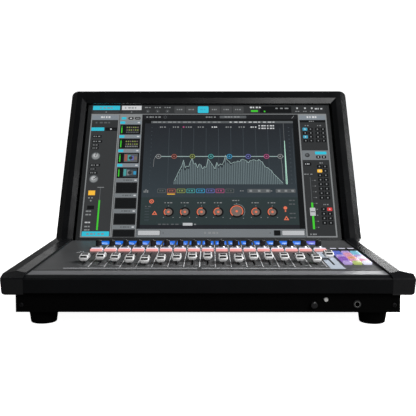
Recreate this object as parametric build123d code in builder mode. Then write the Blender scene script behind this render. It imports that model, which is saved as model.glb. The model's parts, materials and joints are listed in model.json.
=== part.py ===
from build123d import *
import os
from math import cos, radians, sin, tan

os.makedirs("parts", exist_ok=True)

# ---------------------------------------------------------------- driving dimensions (mm)
# X runs to the right, Y from the front rail to the back, Z up from the floor.
DEPTH = 562.0               # front rail face to the rear edge of the cheeks
HALF_WIDTH = 283.0          # outermost edge of a cheek
FRONT_HALF = 280.4          # the same edge at the front end: the cheeks spread a little towards the back
CHEEK_RUN = 400.0           # length over which a cheek spreads
FRONT_Y = -DEPTH / 2
REAR_Y = DEPTH / 2

# deck: a plate that rises gently towards the screen
DECK_TILT = 1.77            # degrees
DECK_Z = 69.9               # height of the deck plane above the front rail face
DECK_HALF = 249.2
DECK_START = 15.6           # distance from the front rail face, measured along the deck
DECK_END = 342.0
DECK_T = 3.0

# screen: its plane meets the deck plane at the knee
KNEE = 342.8                # distance of the knee from the front rail face
SCREEN_TILT = 58.1          # degrees above horizontal
GLASS_HALF = 249.2
GLASS_TOP = 308.6           # measured up the screen from the knee
GLASS_T = 3.0
FRAME_PROUD = 5.0           # frame face above the glass
FRAME_TOP = 334.9           # top of the flat face of the frame
INNER_BEVEL = 10.2          # width of the bevel from the frame face down to the glass
OUTER_BEVEL = 13.6          # width of the bevel from the frame face to the outer edge
OUTER_EDGE = -11.5          # outer edge, measured from the glass plane
SCREEN_BACK = -40.0         # back of the screen housing, measured from the glass plane
CORNER_R = 13.0

# cheeks
CHEEK_IN = 249.5
CHEEK_Z = 45.2              # underside of the cheeks
STRIP_OUT = 263.7           # outer edge of the strip beside the deck
STRIP_IN_H = 3.2            # heights above the deck plane
STRIP_OUT_H = 4.8
EDGE_H = 2.4
REAR_BOX_TOP = 152.0        # top of the rear box at its back edge
REAR_BOX_SHOULDER = 160.0
REAR_BOX_START = 160.0      # where the rear box leaves the back of the screen, up the screen

# chassis
PAN_HALF = 262.5
PAN_FRONT = 10.8
PAN_Z = 20.0
SHEET = 1.5
REAR_WALL = 553.0
REAR_WALL_T = 2.0

# control layout, measured along the deck from the front rail face
PITCH = 23.2                # channel strips
CHANNELS = 16
MASTER_X = 186.5
FIRST_X = -186.4
FADER_BOTTOM = 97.0         # fader position at the bottom of its travel
FADER_TRAVEL = 100.0
FADER_REST = [20, 30, 20, 8, 1, 10, 20, 30, 32, 16, 12, 30, 32, 27, 23, 11, 49]
MUTE_Y = 222.6
SELECT_Y = 232.2
ENCODER_Y = 250.5
DISPLAY_Y = 315.0
USER_X = [208.0, 222.6, 237.2]
USER_Y = 104.0              # first user key
USER_PITCH = 18.4
USER_ROWS = 6
SOFT_KEY_Y = 229.0

STRIP_X = [FIRST_X + n * PITCH for n in range(CHANNELS)] + [MASTER_X]

# deck openings
SLOT_WIDTH = 3.0
SLOT_EXTRA = 9.0            # fader slot beyond the travel
BUSHING_HOLE_R = 3.6
DISPLAY_SIZE = (21.0, 46.0)
DISPLAY_DEPTH = 5.0
DISPLAY_GAP = 0.2
DISPLAY_SUNK = 0.3          # face of a channel display, below the deck plane

# faders and their tracks; heights are measured from the deck plane
CAP_WIDTH = 14.2
CAP_LENGTH = 24.6
CAP_BASE = 2.6
CAP_TOP = 12.6
CAP_SIDE_DRAFT = 1.5
CAP_END_DRAFT = 3.5
SCOOP_R = 5.6
SCOOP_SPREAD = 4.6
SCOOP_HEIGHT = 17.0
LEVER_T = 1.8
LEVER_W = 6.0
LEVER_END = -11.2
TRACK_TOP = -3.2
TRACK_WIDTH = 12.0
TRACK_LENGTH = 126.0
TRACK_DEPTH = 14.0
TRACK_FLOOR = 3.0
TRACK_GROOVE = 4.4
MOTOR_R = 8.0
MOTOR_LENGTH = 18.0

# rotary knobs
SHAFT_R = 3.0
SHAFT_END = -9.0
BUSHING_PLAY = 0.06
BUSHING_DEPTH = 6.4
SKIRT_R = 8.4
SKIRT_BASE = 0.6
SKIRT_EDGE = 1.8
KNOB_R = 5.3
KNOB_SHOULDER = 4.2
KNOB_TOP_R = 4.8
KNOB_TOP = 14.4
KNOB_CHAMFER = 0.8
BOARD_TOP = -10.4
BOARD_T = 1.6
ENCODER_SIZE = 12.0

# keys: (width, length) of each family
CHANNEL_KEY = (19.5, 8.0)
USER_KEY = (11.6, 16.8)
SOFT_KEY = (12.4, 8.0)
KEY_GAP = 0.3
KEY_TOP = 3.3
KEY_EDGE = 0.8              # height of the sloping edge round a key's top
KEY_BOTTOM = -4.0
KEY_DRAFT = 0.5

# controls on the chassis front
FRONT_CONTROL_Z = 31.5
JACK_X = 203.5
JACK_BARREL_R = 4.6
JACK_RING_R = 5.6
JACK_RING_T = 2.2
JACK_BORE_R = 3.2
JACK_DEPTH = 30.0
JACK_BODY = (15.0, 13.0)
VOLUME_X = 144.0
VOLUME_R = 4.9
VOLUME_SHAFT_R = 2.0
VOLUME_PLAY = 0.05
VOLUME_GAP = 0.6            # between the knob and the wall
VOLUME_LENGTH = 9.6
BUTTON_X = 161.0
BUTTON_Z = 37.5
BUTTON_R = 3.2
BUTTON_PROUD = 2.4
BUTTON_INSIDE = 5.0

# rear connectors
SOCKET_COUNT = 12
SOCKET_PITCH = 31.0
SOCKET_Z = 112.0
SOCKET_R = 11.8
SOCKET_FLANGE = (26.0, 31.0)
SOCKET_FLANGE_T = 2.0
SOCKET_DEPTH = 20.0
SOCKET_RECESS_R = 10.0
SOCKET_RECESS = 1.0
NETWORK_X = [-170.5, -139.5]
NETWORK_MOUTH = (11.9, 8.4, 14.0)
LOWER_Z = 70.0
INLET_X = 160.0
INLET_SIZE = (47.0, 25.0)
INLET_FLANGE = (58.0, 29.0)
INLET_FLANGE_T = 2.5
INLET_MOUTH = (24.4, 16.6, 15.0)
INLET_OFFSET = -10.0        # inlet mouth, from the centre of the module
ROCKER_OFFSET = 16.0        # rocker, from the centre of the module
ROCKER_WELL = (13.2, 19.4, 13.0)
ROCKER_WIDTH = 12.6
ROCKER_R = 9.2
ROCKER_THROW = 16.0         # degrees from off to on
ROCKER_AXIS = 3.0           # pivot behind the rear face
STUB_R = 1.5
STUB_PLAY = 0.06
STUB_LENGTH = 0.9

# feet and screws
FOOT_X = 231.5
FOOT_FRONT = 42.5
FOOT_REAR = 512.0
FOOT_TOP_R = 20.6
FOOT_BOTTOM_R = 17.8
SCREW_R = 3.0
SCREW_HEIGHT = 1.6

FRONT_WALL_Y = FRONT_Y + PAN_FRONT
REAR_FACE_Y = FRONT_Y + REAR_WALL + REAR_WALL_T
SOCKET_X = [(n - (SOCKET_COUNT - 1) / 2) * SOCKET_PITCH for n in range(SOCKET_COUNT)]
FOOT_PLACES = [(x, FRONT_Y + y) for x in (-FOOT_X, FOOT_X) for y in (FOOT_FRONT, FOOT_REAR)]

def deck_height(distance):
    """Height of the deck plane at a distance behind the front rail face."""
    return DECK_Z + distance * tan(radians(DECK_TILT))


KNEE_Y = FRONT_Y + KNEE
KNEE_Z = deck_height(KNEE)

# local planes: X to the right, Y along the surface away from the user, Z out of the surface
DECK = Plane(
    origin=(0, FRONT_Y, DECK_Z),
    x_dir=(1, 0, 0),
    z_dir=(0, -sin(radians(DECK_TILT)), cos(radians(DECK_TILT))),
)
SCREEN = Plane(
    origin=(0, KNEE_Y, KNEE_Z),
    x_dir=(1, 0, 0),
    z_dir=(0, -sin(radians(SCREEN_TILT)), cos(radians(SCREEN_TILT))),
)
SIDE = Plane.YZ             # local X is the model's Y, local Y is the model's Z
REAR_FACE = Plane(origin=(0, REAR_FACE_Y, 0), x_dir=(-1, 0, 0), z_dir=(0, 1, 0))


def front_wall(x, z):
    """Plane on the outside of the chassis front wall, facing the user."""
    return Plane(origin=(x, FRONT_WALL_Y, z), x_dir=(1, 0, 0), z_dir=(0, -1, 0))


def screen_point(up, out):
    """(Y, Z) of a point given up the screen from the knee and out from the glass plane."""
    point = SCREEN.from_local_coords(Vector(0, up, out))
    return (point.Y, point.Z)


def save(name, label):
    """Labels one finished piece and writes its STEP file."""
    name.part.label = label
    export_step(name.part, f"parts/{label}.step")


# ---------------------------------------------------------------- cheeks
def cheek_screen_block():
    """The part of the right cheek beside the screen: bevelled front, rounded top corner."""
    top = FRAME_TOP + OUTER_BEVEL
    flat_half = HALF_WIDTH - OUTER_BEVEL
    foot = -15.0
    with BuildPart() as block:
        with BuildSketch(SCREEN.offset(OUTER_EDGE)) as outer:
            with BuildLine():
                Polyline((CHEEK_IN, foot), (HALF_WIDTH, foot), (HALF_WIDTH, top), (CHEEK_IN, top), close=True)
            make_face()
            fillet(outer.vertices().group_by(Axis.X)[-1].sort_by(Axis.Z)[-1], CORNER_R)
        with BuildSketch(SCREEN.offset(FRAME_PROUD)) as face:
            with BuildLine():
                Polyline((CHEEK_IN, foot), (flat_half, foot), (flat_half, FRAME_TOP), (CHEEK_IN, FRAME_TOP),
                         close=True)
            make_face()
            fillet(face.vertices().group_by(Axis.X)[-1].sort_by(Axis.Z)[-1], CORNER_R / 5)
        loft(ruled=True)
        with BuildSketch(SCREEN.offset(OUTER_EDGE)):
            add(outer.sketch_local)
        extrude(amount=OUTER_EDGE - SCREEN_BACK, dir=-SCREEN.z_dir)
        back_face = block.faces().sort_by(Axis(SCREEN.origin, SCREEN.z_dir))[0]
        chamfer(back_face.edges().group_by(Axis.X)[-1], 5.0)
    return block.part


def cheek_deck_block():
    """The part of the right cheek beside the deck: a strip, an outer slope and a drafted side."""
    front = Plane(origin=DECK.origin, x_dir=(1, 0, 0), z_dir=-DECK.y_dir)
    with BuildPart() as block:
        for run, half in ((0, FRONT_HALF), (CHEEK_RUN, HALF_WIDTH)):
            with BuildSketch(front.offset(-run)):
                with BuildLine():
                    Polyline(
                        (CHEEK_IN, -40),
                        (half - 3, -40),
                        (half, -3),
                        (half, EDGE_H),
                        (STRIP_OUT, STRIP_OUT_H),
                        (CHEEK_IN, STRIP_IN_H),
                        close=True,
                    )
                make_face()
        loft(ruled=True)
        with BuildSketch(SIDE):
            with BuildLine():
                Polyline(
                    (FRONT_Y + 3, CHEEK_Z),
                    (FRONT_Y + CHEEK_RUN, CHEEK_Z),
                    (FRONT_Y + CHEEK_RUN, DECK_Z + 30),
                    (FRONT_Y + 22, DECK_Z + 10),
                    (FRONT_Y + 22, DECK_Z + 5.6),
                    (FRONT_Y + 2, DECK_Z - 1.2),
                    (FRONT_Y, DECK_Z - 3.2),
                    (FRONT_Y, CHEEK_Z + 3),
                    close=True,
                )
            make_face()
        extrude(amount=HALF_WIDTH + 10, mode=Mode.INTERSECT)
        bottom_edges = block.edges().filter_by(lambda e: abs(e.center().Z - CHEEK_Z) < 0.1)
        fillet(bottom_edges.sort_by(Axis.X)[-1], 5.0)
    return block.part


def cheek_rear_block():
    """The part of the right cheek that closes the side of the rear box."""
    with BuildPart() as block:
        with BuildSketch(SIDE.offset(CHEEK_IN)):
            with BuildLine():
                Polyline(
                    (FRONT_Y + 330, CHEEK_Z),
                    (REAR_Y, CHEEK_Z),
                    (REAR_Y, REAR_BOX_TOP),
                    (REAR_Y - 9, REAR_BOX_SHOULDER),
                    screen_point(REAR_BOX_START, SCREEN_BACK),
                    screen_point(REAR_BOX_START, SCREEN_BACK + 15),
                    screen_point(0, SCREEN_BACK + 15),
                    (FRONT_Y + 330, deck_height(330) - 6),
                    close=True,
                )
            make_face()
        extrude(amount=HALF_WIDTH - 1.5 - CHEEK_IN)
        outer_face = block.faces().sort_by(Axis.X)[-1]
        rear_edges = outer_face.edges().filter_by(lambda e: e.center().Y > FRONT_Y + 420)
        chamfer(rear_edges.filter_by(lambda e: e.center().Z > CHEEK_Z + 1), 3.0)
    return block.part


def bevel_pocket():
    """The recess of the screen frame: its sloping walls are the inner bevel."""
    face_half = GLASS_HALF - 0.8 + INNER_BEVEL
    face_top = GLASS_TOP + 0.4 + INNER_BEVEL
    with BuildPart() as pocket:
        for out, grow in ((0.0, 0.0), (FRAME_PROUD, 1.0)):
            half = GLASS_HALF - 0.8 + grow * (face_half - GLASS_HALF + 0.8)
            top = GLASS_TOP + 0.4 + grow * (face_top - GLASS_TOP - 0.4)
            with BuildSketch(SCREEN.offset(out)):
                with Locations((0, top / 2)):
                    Rectangle(2 * half, top)
        loft(ruled=True)
    return pocket.part


def cheek(label, side):
    """Side moulding: one piece from the front corner to the top of the screen. side is 1 or -1."""
    pieces = [cheek_screen_block(), cheek_deck_block(), cheek_rear_block()]
    pocket = bevel_pocket()
    with BuildPart() as body:
        for piece in pieces:
            add(piece)
        add(pocket, mode=Mode.SUBTRACT)
        if side < 0:
            mirror(about=Plane.YZ, mode=Mode.REPLACE)
    save(body, label)


# ---------------------------------------------------------------- body panels
def front_rail():
    """Armrest bar across the front, with a groove behind its front lip."""
    with BuildPart() as rail:
        with BuildSketch(SIDE.offset(-DECK_HALF)):
            with BuildLine():
                Polyline(
                    (FRONT_Y, 48.4),
                    (FRONT_Y, 66.4),
                    (FRONT_Y + 0.7, 67.1),
                    (FRONT_Y + 2.6, 67.4),
                    (FRONT_Y + 3.0, 66.4),
                    (FRONT_Y + 4.0, 66.5),
                    (FRONT_Y + 4.4, 67.9),
                    (FRONT_Y + DECK_START - 0.2, deck_height(DECK_START) - 0.1),
                    (FRONT_Y + DECK_START - 0.2, 60.0),
                    (FRONT_Y + 9.0, 60.0),
                    (FRONT_Y + 9.0, 47.9),
                    (FRONT_Y + 0.5, 47.9),
                    close=True,
                )
            make_face()
        extrude(amount=2 * DECK_HALF)
    save(rail, "front_rail")


def key_rows():
    """Every family of keys: (deck positions, width, length)."""
    channel = [(x, y) for y in (MUTE_Y, SELECT_Y) for x in STRIP_X]
    user = [(x, USER_Y + n * USER_PITCH) for x in USER_X for n in range(USER_ROWS)]
    soft = [(x, SOFT_KEY_Y) for x in USER_X]
    return {"channel": (channel, *CHANNEL_KEY), "user": (user, *USER_KEY), "soft": (soft, *SOFT_KEY)}


def deck_panel():
    """Top plate, pierced for the faders, knobs, keys and channel displays."""
    middle = (DECK_START + DECK_END) / 2
    with BuildPart() as panel:
        with BuildSketch(DECK.offset(-DECK_T)):
            with Locations((0, middle)):
                Rectangle(2 * DECK_HALF, DECK_END - DECK_START)
            with Locations([(x, FADER_BOTTOM + FADER_TRAVEL / 2) for x in STRIP_X]):
                SlotOverall(FADER_TRAVEL + SLOT_EXTRA, SLOT_WIDTH, rotation=90, mode=Mode.SUBTRACT)
            with Locations([(x, ENCODER_Y) for x in STRIP_X]):
                Circle(BUSHING_HOLE_R, mode=Mode.SUBTRACT)
            with Locations([(x, DISPLAY_Y) for x in STRIP_X]):
                Rectangle(*[size + 2 * DISPLAY_GAP for size in DISPLAY_SIZE], mode=Mode.SUBTRACT)
            for points, width, length in key_rows().values():
                with Locations(points):
                    Rectangle(width + 2 * KEY_GAP, length + 2 * KEY_GAP, mode=Mode.SUBTRACT)
        extrude(amount=DECK_T)
    save(panel, "deck_panel")


def chassis_pan():
    """Sheet-metal box: floor, front wall and side walls, pierced for the front controls."""
    inner = PAN_HALF - SHEET
    length = REAR_FACE_Y - FRONT_WALL_Y
    with BuildPart() as pan:
        with BuildSketch(Plane.XY.offset(PAN_Z)):
            with Locations((0, FRONT_WALL_Y + length / 2)):
                Rectangle(2 * PAN_HALF, length)
            with Locations((0, 40)):
                with GridLocations(34, 9, 8, 9):
                    SlotOverall(24, 4, mode=Mode.SUBTRACT)
        extrude(amount=SHEET)
        with BuildSketch(Plane.XY.offset(PAN_Z + SHEET)):
            with Locations((0, FRONT_WALL_Y + SHEET / 2)):
                Rectangle(2 * PAN_HALF, SHEET)
            for x in (-PAN_HALF + SHEET / 2, PAN_HALF - SHEET / 2):
                with Locations((x, FRONT_WALL_Y + (length - REAR_WALL_T) / 2)):
                    Rectangle(SHEET, length - REAR_WALL_T - 0.2)
        extrude(amount=CHEEK_Z - 0.2 - PAN_Z - SHEET)
        with BuildSketch(Plane.XY.offset(CHEEK_Z - 0.2)):
            with Locations((0, FRONT_WALL_Y + SHEET / 2)):
                Rectangle(2 * DECK_HALF, SHEET)
        extrude(amount=14)
        with BuildSketch(front_wall(0, 0)):
            with Locations((JACK_X, FRONT_CONTROL_Z)):
                Circle(JACK_BARREL_R + 0.1)
            with Locations((VOLUME_X, FRONT_CONTROL_Z)):
                Circle(VOLUME_SHAFT_R + VOLUME_PLAY)
            with Locations((BUTTON_X, BUTTON_Z)):
                Circle(BUTTON_R + 0.2)
        extrude(amount=-2 * SHEET, mode=Mode.SUBTRACT)
    save(pan, "chassis_pan")


def rear_panel():
    """Recessed connector panel between the cheeks."""
    height = REAR_BOX_TOP - 4 - (PAN_Z + SHEET + 0.1)
    with BuildPart() as panel:
        with BuildSketch(REAR_FACE) as outline:
            with Locations((0, PAN_Z + SHEET + 0.1 + height / 2)):
                Rectangle(2 * DECK_HALF, height)
            with Locations((0, (PAN_Z + SHEET + CHEEK_Z) / 2)):
                Rectangle(2 * (PAN_HALF - SHEET) - 0.4, CHEEK_Z - PAN_Z - SHEET - 0.4)
            with Locations([(x, SOCKET_Z) for x in SOCKET_X] + [(x, LOWER_Z) for x in NETWORK_X]):
                Circle(SOCKET_R + 0.2, mode=Mode.SUBTRACT)
            with Locations((INLET_X, LOWER_Z)):
                Rectangle(INLET_SIZE[0] + 0.4, INLET_SIZE[1] + 0.4, mode=Mode.SUBTRACT)
            with Locations((0, LOWER_Z)):
                with GridLocations(11, 0, 14, 1):
                    SlotOverall(30, 4, rotation=90, mode=Mode.SUBTRACT)
        extrude(amount=-REAR_WALL_T)
    save(panel, "rear_panel")


def screen_back_cover():
    """Bent sheet: back of the screen and top of the rear box, with ventilation slots."""
    slots = Plane(origin=SCREEN.from_local_coords(Vector(0, 240, SCREEN_BACK)), x_dir=(1, 0, 0),
                  z_dir=-SCREEN.z_dir)
    with BuildPart() as cover:
        with BuildSketch(SIDE.offset(-DECK_HALF)):
            with BuildLine():
                path = Polyline(
                    screen_point(GLASS_TOP, SCREEN_BACK),
                    screen_point(REAR_BOX_START, SCREEN_BACK),
                    (REAR_Y - 9.5, REAR_BOX_SHOULDER - 0.4),
                    (REAR_Y - 9.5, REAR_BOX_TOP - 3.8),
                )
                offset(path, amount=2.0, side=Side.RIGHT)
            make_face()
        extrude(amount=2 * DECK_HALF)
        with BuildSketch(slots):
            for x in (-125, 125):
                with Locations((x, 0)):
                    with GridLocations(12, 0, 14, 1):
                        SlotOverall(60, 4, rotation=90)
        extrude(amount=-3, mode=Mode.SUBTRACT)
    save(cover, "screen_back_cover")


def screen_top_rail():
    """Hollow rail that joins the cheeks above the screen."""
    top = FRAME_TOP + OUTER_BEVEL
    with BuildPart() as rail:
        with BuildSketch(SIDE.offset(-DECK_HALF)):
            with BuildLine():
                Polyline(
                    screen_point(GLASS_TOP + 0.4, 0),
                    screen_point(GLASS_TOP + 0.4 + INNER_BEVEL, FRAME_PROUD),
                    screen_point(FRAME_TOP, FRAME_PROUD),
                    screen_point(top, OUTER_EDGE),
                    screen_point(top, SCREEN_BACK + 5),
                    screen_point(top - 5, SCREEN_BACK),
                    screen_point(GLASS_TOP + 0.4, SCREEN_BACK),
                    close=True,
                )
            make_face()
            with BuildLine():
                Polyline(
                    screen_point(GLASS_TOP + 4, -4),
                    screen_point(FRAME_TOP - 3, -4),
                    screen_point(top - 4, OUTER_EDGE - 3),
                    screen_point(top - 4, SCREEN_BACK + 8),
                    screen_point(GLASS_TOP + 4, SCREEN_BACK + 4),
                    close=True,
                )
            make_face(mode=Mode.SUBTRACT)
        extrude(amount=2 * DECK_HALF)
    save(rail, "screen_top_rail")


def screen_plate(label, half, low, high, front, thickness):
    """A flat plate of the screen stack."""
    with BuildPart() as plate:
        with BuildSketch(SCREEN.offset(front)):
            with Locations((0, (low + high) / 2)):
                Rectangle(2 * half, high - low)
        extrude(amount=-thickness)
    save(plate, label)


def channel_displays():
    """One small display module under each channel's window, all alike."""
    with BuildPart() as displays:
        with BuildSketch(DECK.offset(-DISPLAY_DEPTH)):
            with Locations([(x, DISPLAY_Y) for x in STRIP_X]):
                Rectangle(*DISPLAY_SIZE)
        extrude(amount=DISPLAY_DEPTH - DISPLAY_SUNK)
    save(displays, "channel_displays")


# ---------------------------------------------------------------- inside
def fader_tracks():
    """A channel-shaped track under each fader slot, with its drive motor at the rear end."""
    centre = FADER_BOTTOM + FADER_TRAVEL / 2
    with BuildPart() as tracks:
        with BuildSketch(DECK.offset(TRACK_TOP)):
            with Locations([(x, centre) for x in STRIP_X]):
                Rectangle(TRACK_WIDTH, TRACK_LENGTH)
        extrude(amount=-TRACK_DEPTH)
        with BuildSketch(DECK.offset(TRACK_TOP - TRACK_DEPTH)):
            with Locations([(x, centre + TRACK_LENGTH / 2 - MOTOR_R) for x in STRIP_X]):
                Circle(MOTOR_R)
        extrude(amount=-MOTOR_LENGTH)
        with BuildSketch(DECK.offset(TRACK_TOP)):
            with Locations([(x, centre) for x in STRIP_X]):
                Rectangle(TRACK_GROOVE, FADER_TRAVEL + SLOT_EXTRA + TRACK_FLOOR)
        extrude(amount=TRACK_FLOOR - TRACK_DEPTH, mode=Mode.SUBTRACT)
    save(tracks, "fader_tracks")


def control_board():
    """Circuit board under the keys, carrying the rotary encoders with their bushings."""
    with BuildPart() as board:
        with BuildSketch(DECK.offset(BOARD_TOP - BOARD_T)):
            with Locations((0, 272)):
                Rectangle(2 * 240, 108)
            with Locations((222.5, 155)):
                Rectangle(46, 140)
        extrude(amount=BOARD_T)
        with BuildSketch(DECK.offset(BOARD_TOP)):
            with Locations([(x, ENCODER_Y) for x in STRIP_X]):
                Rectangle(ENCODER_SIZE, ENCODER_SIZE)
        extrude(amount=TRACK_TOP - BOARD_TOP - 0.2)
        with BuildSketch(DECK.offset(TRACK_TOP)):
            with Locations([(x, ENCODER_Y) for x in STRIP_X]):
                Circle(SHAFT_R + BUSHING_PLAY)
        extrude(amount=-BUSHING_DEPTH, mode=Mode.SUBTRACT)
    save(board, "control_board")


def plain_box(label, size, centre, chips=()):
    """A closed inner unit, with optional blocks on top given as (x, y, width, length, height)."""
    with BuildPart() as unit:
        with Locations(centre):
            Box(*size)
        for x, y, width, length, height in chips:
            with Locations((centre[0] + x, centre[1] + y, centre[2] + size[2] / 2 + height / 2)):
                Box(width, length, height)
    save(unit, label)


# ---------------------------------------------------------------- sockets
def rear_sockets():
    """Microphone sockets in one row and two network sockets below, all on the same square flange."""
    microphone = [(-x, SOCKET_Z) for x in SOCKET_X]
    network = [(x, LOWER_Z) for x in NETWORK_X]
    with BuildPart() as sockets:
        with BuildSketch(REAR_FACE):
            with Locations(microphone + network):
                RectangleRounded(*SOCKET_FLANGE, 2.5)
        extrude(amount=SOCKET_FLANGE_T)
        with BuildSketch(REAR_FACE):
            with Locations(microphone + network):
                Circle(SOCKET_R)
        extrude(amount=-SOCKET_DEPTH)
        with BuildSketch(REAR_FACE.offset(SOCKET_FLANGE_T)):
            with Locations(microphone):
                Circle(SOCKET_RECESS_R)
        extrude(amount=-SOCKET_RECESS, mode=Mode.SUBTRACT)
        with BuildSketch(REAR_FACE.offset(SOCKET_FLANGE_T)):
            with Locations(network):
                Rectangle(NETWORK_MOUTH[0], NETWORK_MOUTH[1])
        extrude(amount=-NETWORK_MOUTH[2], mode=Mode.SUBTRACT)
    save(sockets, "rear_sockets")


def rocker_side(lean=0.0):
    """Plane across the rocker at its pivot: local X points out of the panel, local Y up."""
    angle = radians(lean)
    return Plane(
        origin=(-(INLET_X + ROCKER_OFFSET), REAR_FACE_Y - ROCKER_AXIS, LOWER_Z),
        x_dir=(0, cos(angle), sin(angle)),
        z_dir=(1, 0, 0),
    )


def mains_inlet():
    """Mains inlet module: the inlet mouth and, beside it, the well of the rocker switch."""
    with BuildPart() as inlet:
        with BuildSketch(REAR_FACE):
            with Locations((INLET_X, LOWER_Z)):
                RectangleRounded(*INLET_FLANGE, 3.0)
        extrude(amount=INLET_FLANGE_T)
        with BuildSketch(REAR_FACE):
            with Locations((INLET_X, LOWER_Z)):
                Rectangle(*INLET_SIZE)
        extrude(amount=-SOCKET_DEPTH)
        with BuildSketch(REAR_FACE.offset(INLET_FLANGE_T)):
            with Locations((INLET_X + INLET_OFFSET, LOWER_Z)):
                Rectangle(INLET_MOUTH[0], INLET_MOUTH[1])
        extrude(amount=-INLET_MOUTH[2], mode=Mode.SUBTRACT)
        with BuildSketch(REAR_FACE.offset(INLET_FLANGE_T)):
            with Locations((INLET_X + ROCKER_OFFSET, LOWER_Z)):
                Rectangle(ROCKER_WELL[0], ROCKER_WELL[1])
        extrude(amount=-ROCKER_WELL[2], mode=Mode.SUBTRACT)
        with BuildSketch(rocker_side()):
            Circle(STUB_R + STUB_PLAY)
        extrude(amount=ROCKER_WIDTH / 2 + STUB_LENGTH + 0.2, both=True, mode=Mode.SUBTRACT)
    save(inlet, "mains_inlet")


def phones_jack():
    """Headphone socket: a body behind the front wall, a barrel through it and a ring nut."""
    front = front_wall(JACK_X, FRONT_CONTROL_Z)
    with BuildPart() as jack:
        with BuildSketch(front):
            Circle(JACK_RING_R)
        extrude(amount=JACK_RING_T)
        with BuildSketch(front):
            Circle(JACK_BARREL_R)
        extrude(amount=-SHEET)
        with BuildSketch(front.offset(-SHEET)):
            Rectangle(*JACK_BODY)
        extrude(amount=-JACK_DEPTH)
        with BuildSketch(front.offset(JACK_RING_T)):
            Circle(JACK_BORE_R)
        extrude(amount=-JACK_DEPTH, mode=Mode.SUBTRACT)
        rim = jack.faces().sort_by(Axis.Y)[0].outer_wire().edges()
        chamfer(rim, 0.6)
    save(jack, "phones_jack")


# ---------------------------------------------------------------- feet and screws
def rubber_feet():
    """Four tapered feet with a rounded lower edge."""
    with BuildPart() as feet:
        for place in FOOT_PLACES:
            with BuildSketch(Plane.XY):
                with Locations(place):
                    Circle(FOOT_BOTTOM_R)
            with BuildSketch(Plane.XY.offset(PAN_Z)):
                with Locations(place):
                    Circle(FOOT_TOP_R)
            loft(ruled=True)
        fillet(feet.edges().group_by(Axis.Z)[0], 2.5)
    save(feet, "rubber_feet")


def screws():
    """Screw heads: two on the chassis front, eight round the rear panel, six on the back cover."""
    back = Plane(origin=SCREEN.from_local_coords(Vector(0, 0, SCREEN_BACK)), x_dir=(1, 0, 0),
                 z_dir=-SCREEN.z_dir)
    rear = [(x, z) for x in (-240, -80, 80, 240) for z in (PAN_Z + 12, REAR_BOX_TOP - 12)]
    cover = [(x, -y) for x in (-238, 0, 238) for y in (180, 298)]
    with BuildPart() as heads:
        for plane, places in (
            (front_wall(0, 0), [(-254.6, 30.1), (254.6, 30.1)]),
            (REAR_FACE, rear),
            (back, cover),
        ):
            with BuildSketch(plane):
                with Locations(places):
                    Circle(SCREW_R)
            extrude(amount=SCREW_HEIGHT)
    save(heads, "screws")


# ---------------------------------------------------------------- moving pieces
def fader(label, x, travel):
    """Fader: a waisted cap with two finger scoops, on a flat metal lever that reaches into the track."""
    y = FADER_BOTTOM + travel
    with BuildPart() as body:
        with BuildSketch(DECK.offset(CAP_BASE)):
            with Locations((x, y)):
                RectangleRounded(CAP_WIDTH, CAP_LENGTH, 2.0)
        with BuildSketch(DECK.offset(CAP_TOP)):
            with Locations((x, y)):
                RectangleRounded(CAP_WIDTH - 2 * CAP_SIDE_DRAFT, CAP_LENGTH - 2 * CAP_END_DRAFT, 1.6)
        loft(ruled=True)
        scoop = Plane(origin=DECK.from_local_coords(Vector(x, y, 0)), x_dir=DECK.y_dir, z_dir=DECK.x_dir)
        with BuildSketch(scoop):
            for side in (-1, 1):
                with Locations((side * SCOOP_SPREAD, SCOOP_HEIGHT)):
                    Circle(SCOOP_R)
        extrude(amount=CAP_WIDTH, both=True, mode=Mode.SUBTRACT)
        with BuildSketch(DECK.offset(CAP_BASE)):
            with Locations((x, y)):
                Rectangle(LEVER_T, LEVER_W)
        extrude(amount=LEVER_END - CAP_BASE)
    save(body, label)


def encoder(label, x):
    """Rotary knob: a wide skirt, a slightly tapered body and the shaft below."""
    place = DECK.from_local_coords(Vector(x, ENCODER_Y, 0))
    radial = Plane(origin=place, x_dir=(1, 0, 0), z_dir=-DECK.y_dir)
    with BuildPart() as knob:
        with BuildSketch(radial):
            with BuildLine():
                Polyline(
                    (0, SHAFT_END),
                    (SHAFT_R, SHAFT_END),
                    (SHAFT_R, SKIRT_BASE),
                    (SKIRT_R, SKIRT_BASE),
                    (SKIRT_R, SKIRT_EDGE),
                    (KNOB_R, KNOB_SHOULDER),
                    (KNOB_TOP_R, KNOB_TOP - KNOB_CHAMFER),
                    (KNOB_TOP_R - KNOB_CHAMFER, KNOB_TOP),
                    (0, KNOB_TOP),
                    close=True,
                )
            make_face()
        revolve(axis=Axis(place, DECK.z_dir))
        with BuildSketch(DECK.offset(KNOB_TOP)):
            with Locations((x, ENCODER_Y + KNOB_TOP_R - 2.8)):
                Rectangle(1.0, 3.6)
        extrude(amount=-0.6, mode=Mode.SUBTRACT)
    save(knob, label)


def keys(label, groups):
    """A family of keys that share one node; each key is its own solid with a drafted cap."""
    with BuildPart() as caps:
        for points, width, length in groups:
            with BuildSketch(DECK.offset(KEY_BOTTOM)):
                with Locations(points):
                    Rectangle(width, length)
            extrude(amount=KEY_TOP - KEY_EDGE - KEY_BOTTOM)
            for point in points:
                with BuildSketch(DECK.offset(KEY_TOP - KEY_EDGE)):
                    with Locations(point):
                        Rectangle(width, length)
                with BuildSketch(DECK.offset(KEY_TOP)):
                    with Locations(point):
                        Rectangle(width - 2 * KEY_DRAFT, length - 2 * KEY_DRAFT)
                loft(ruled=True)
    save(caps, label)


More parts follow.
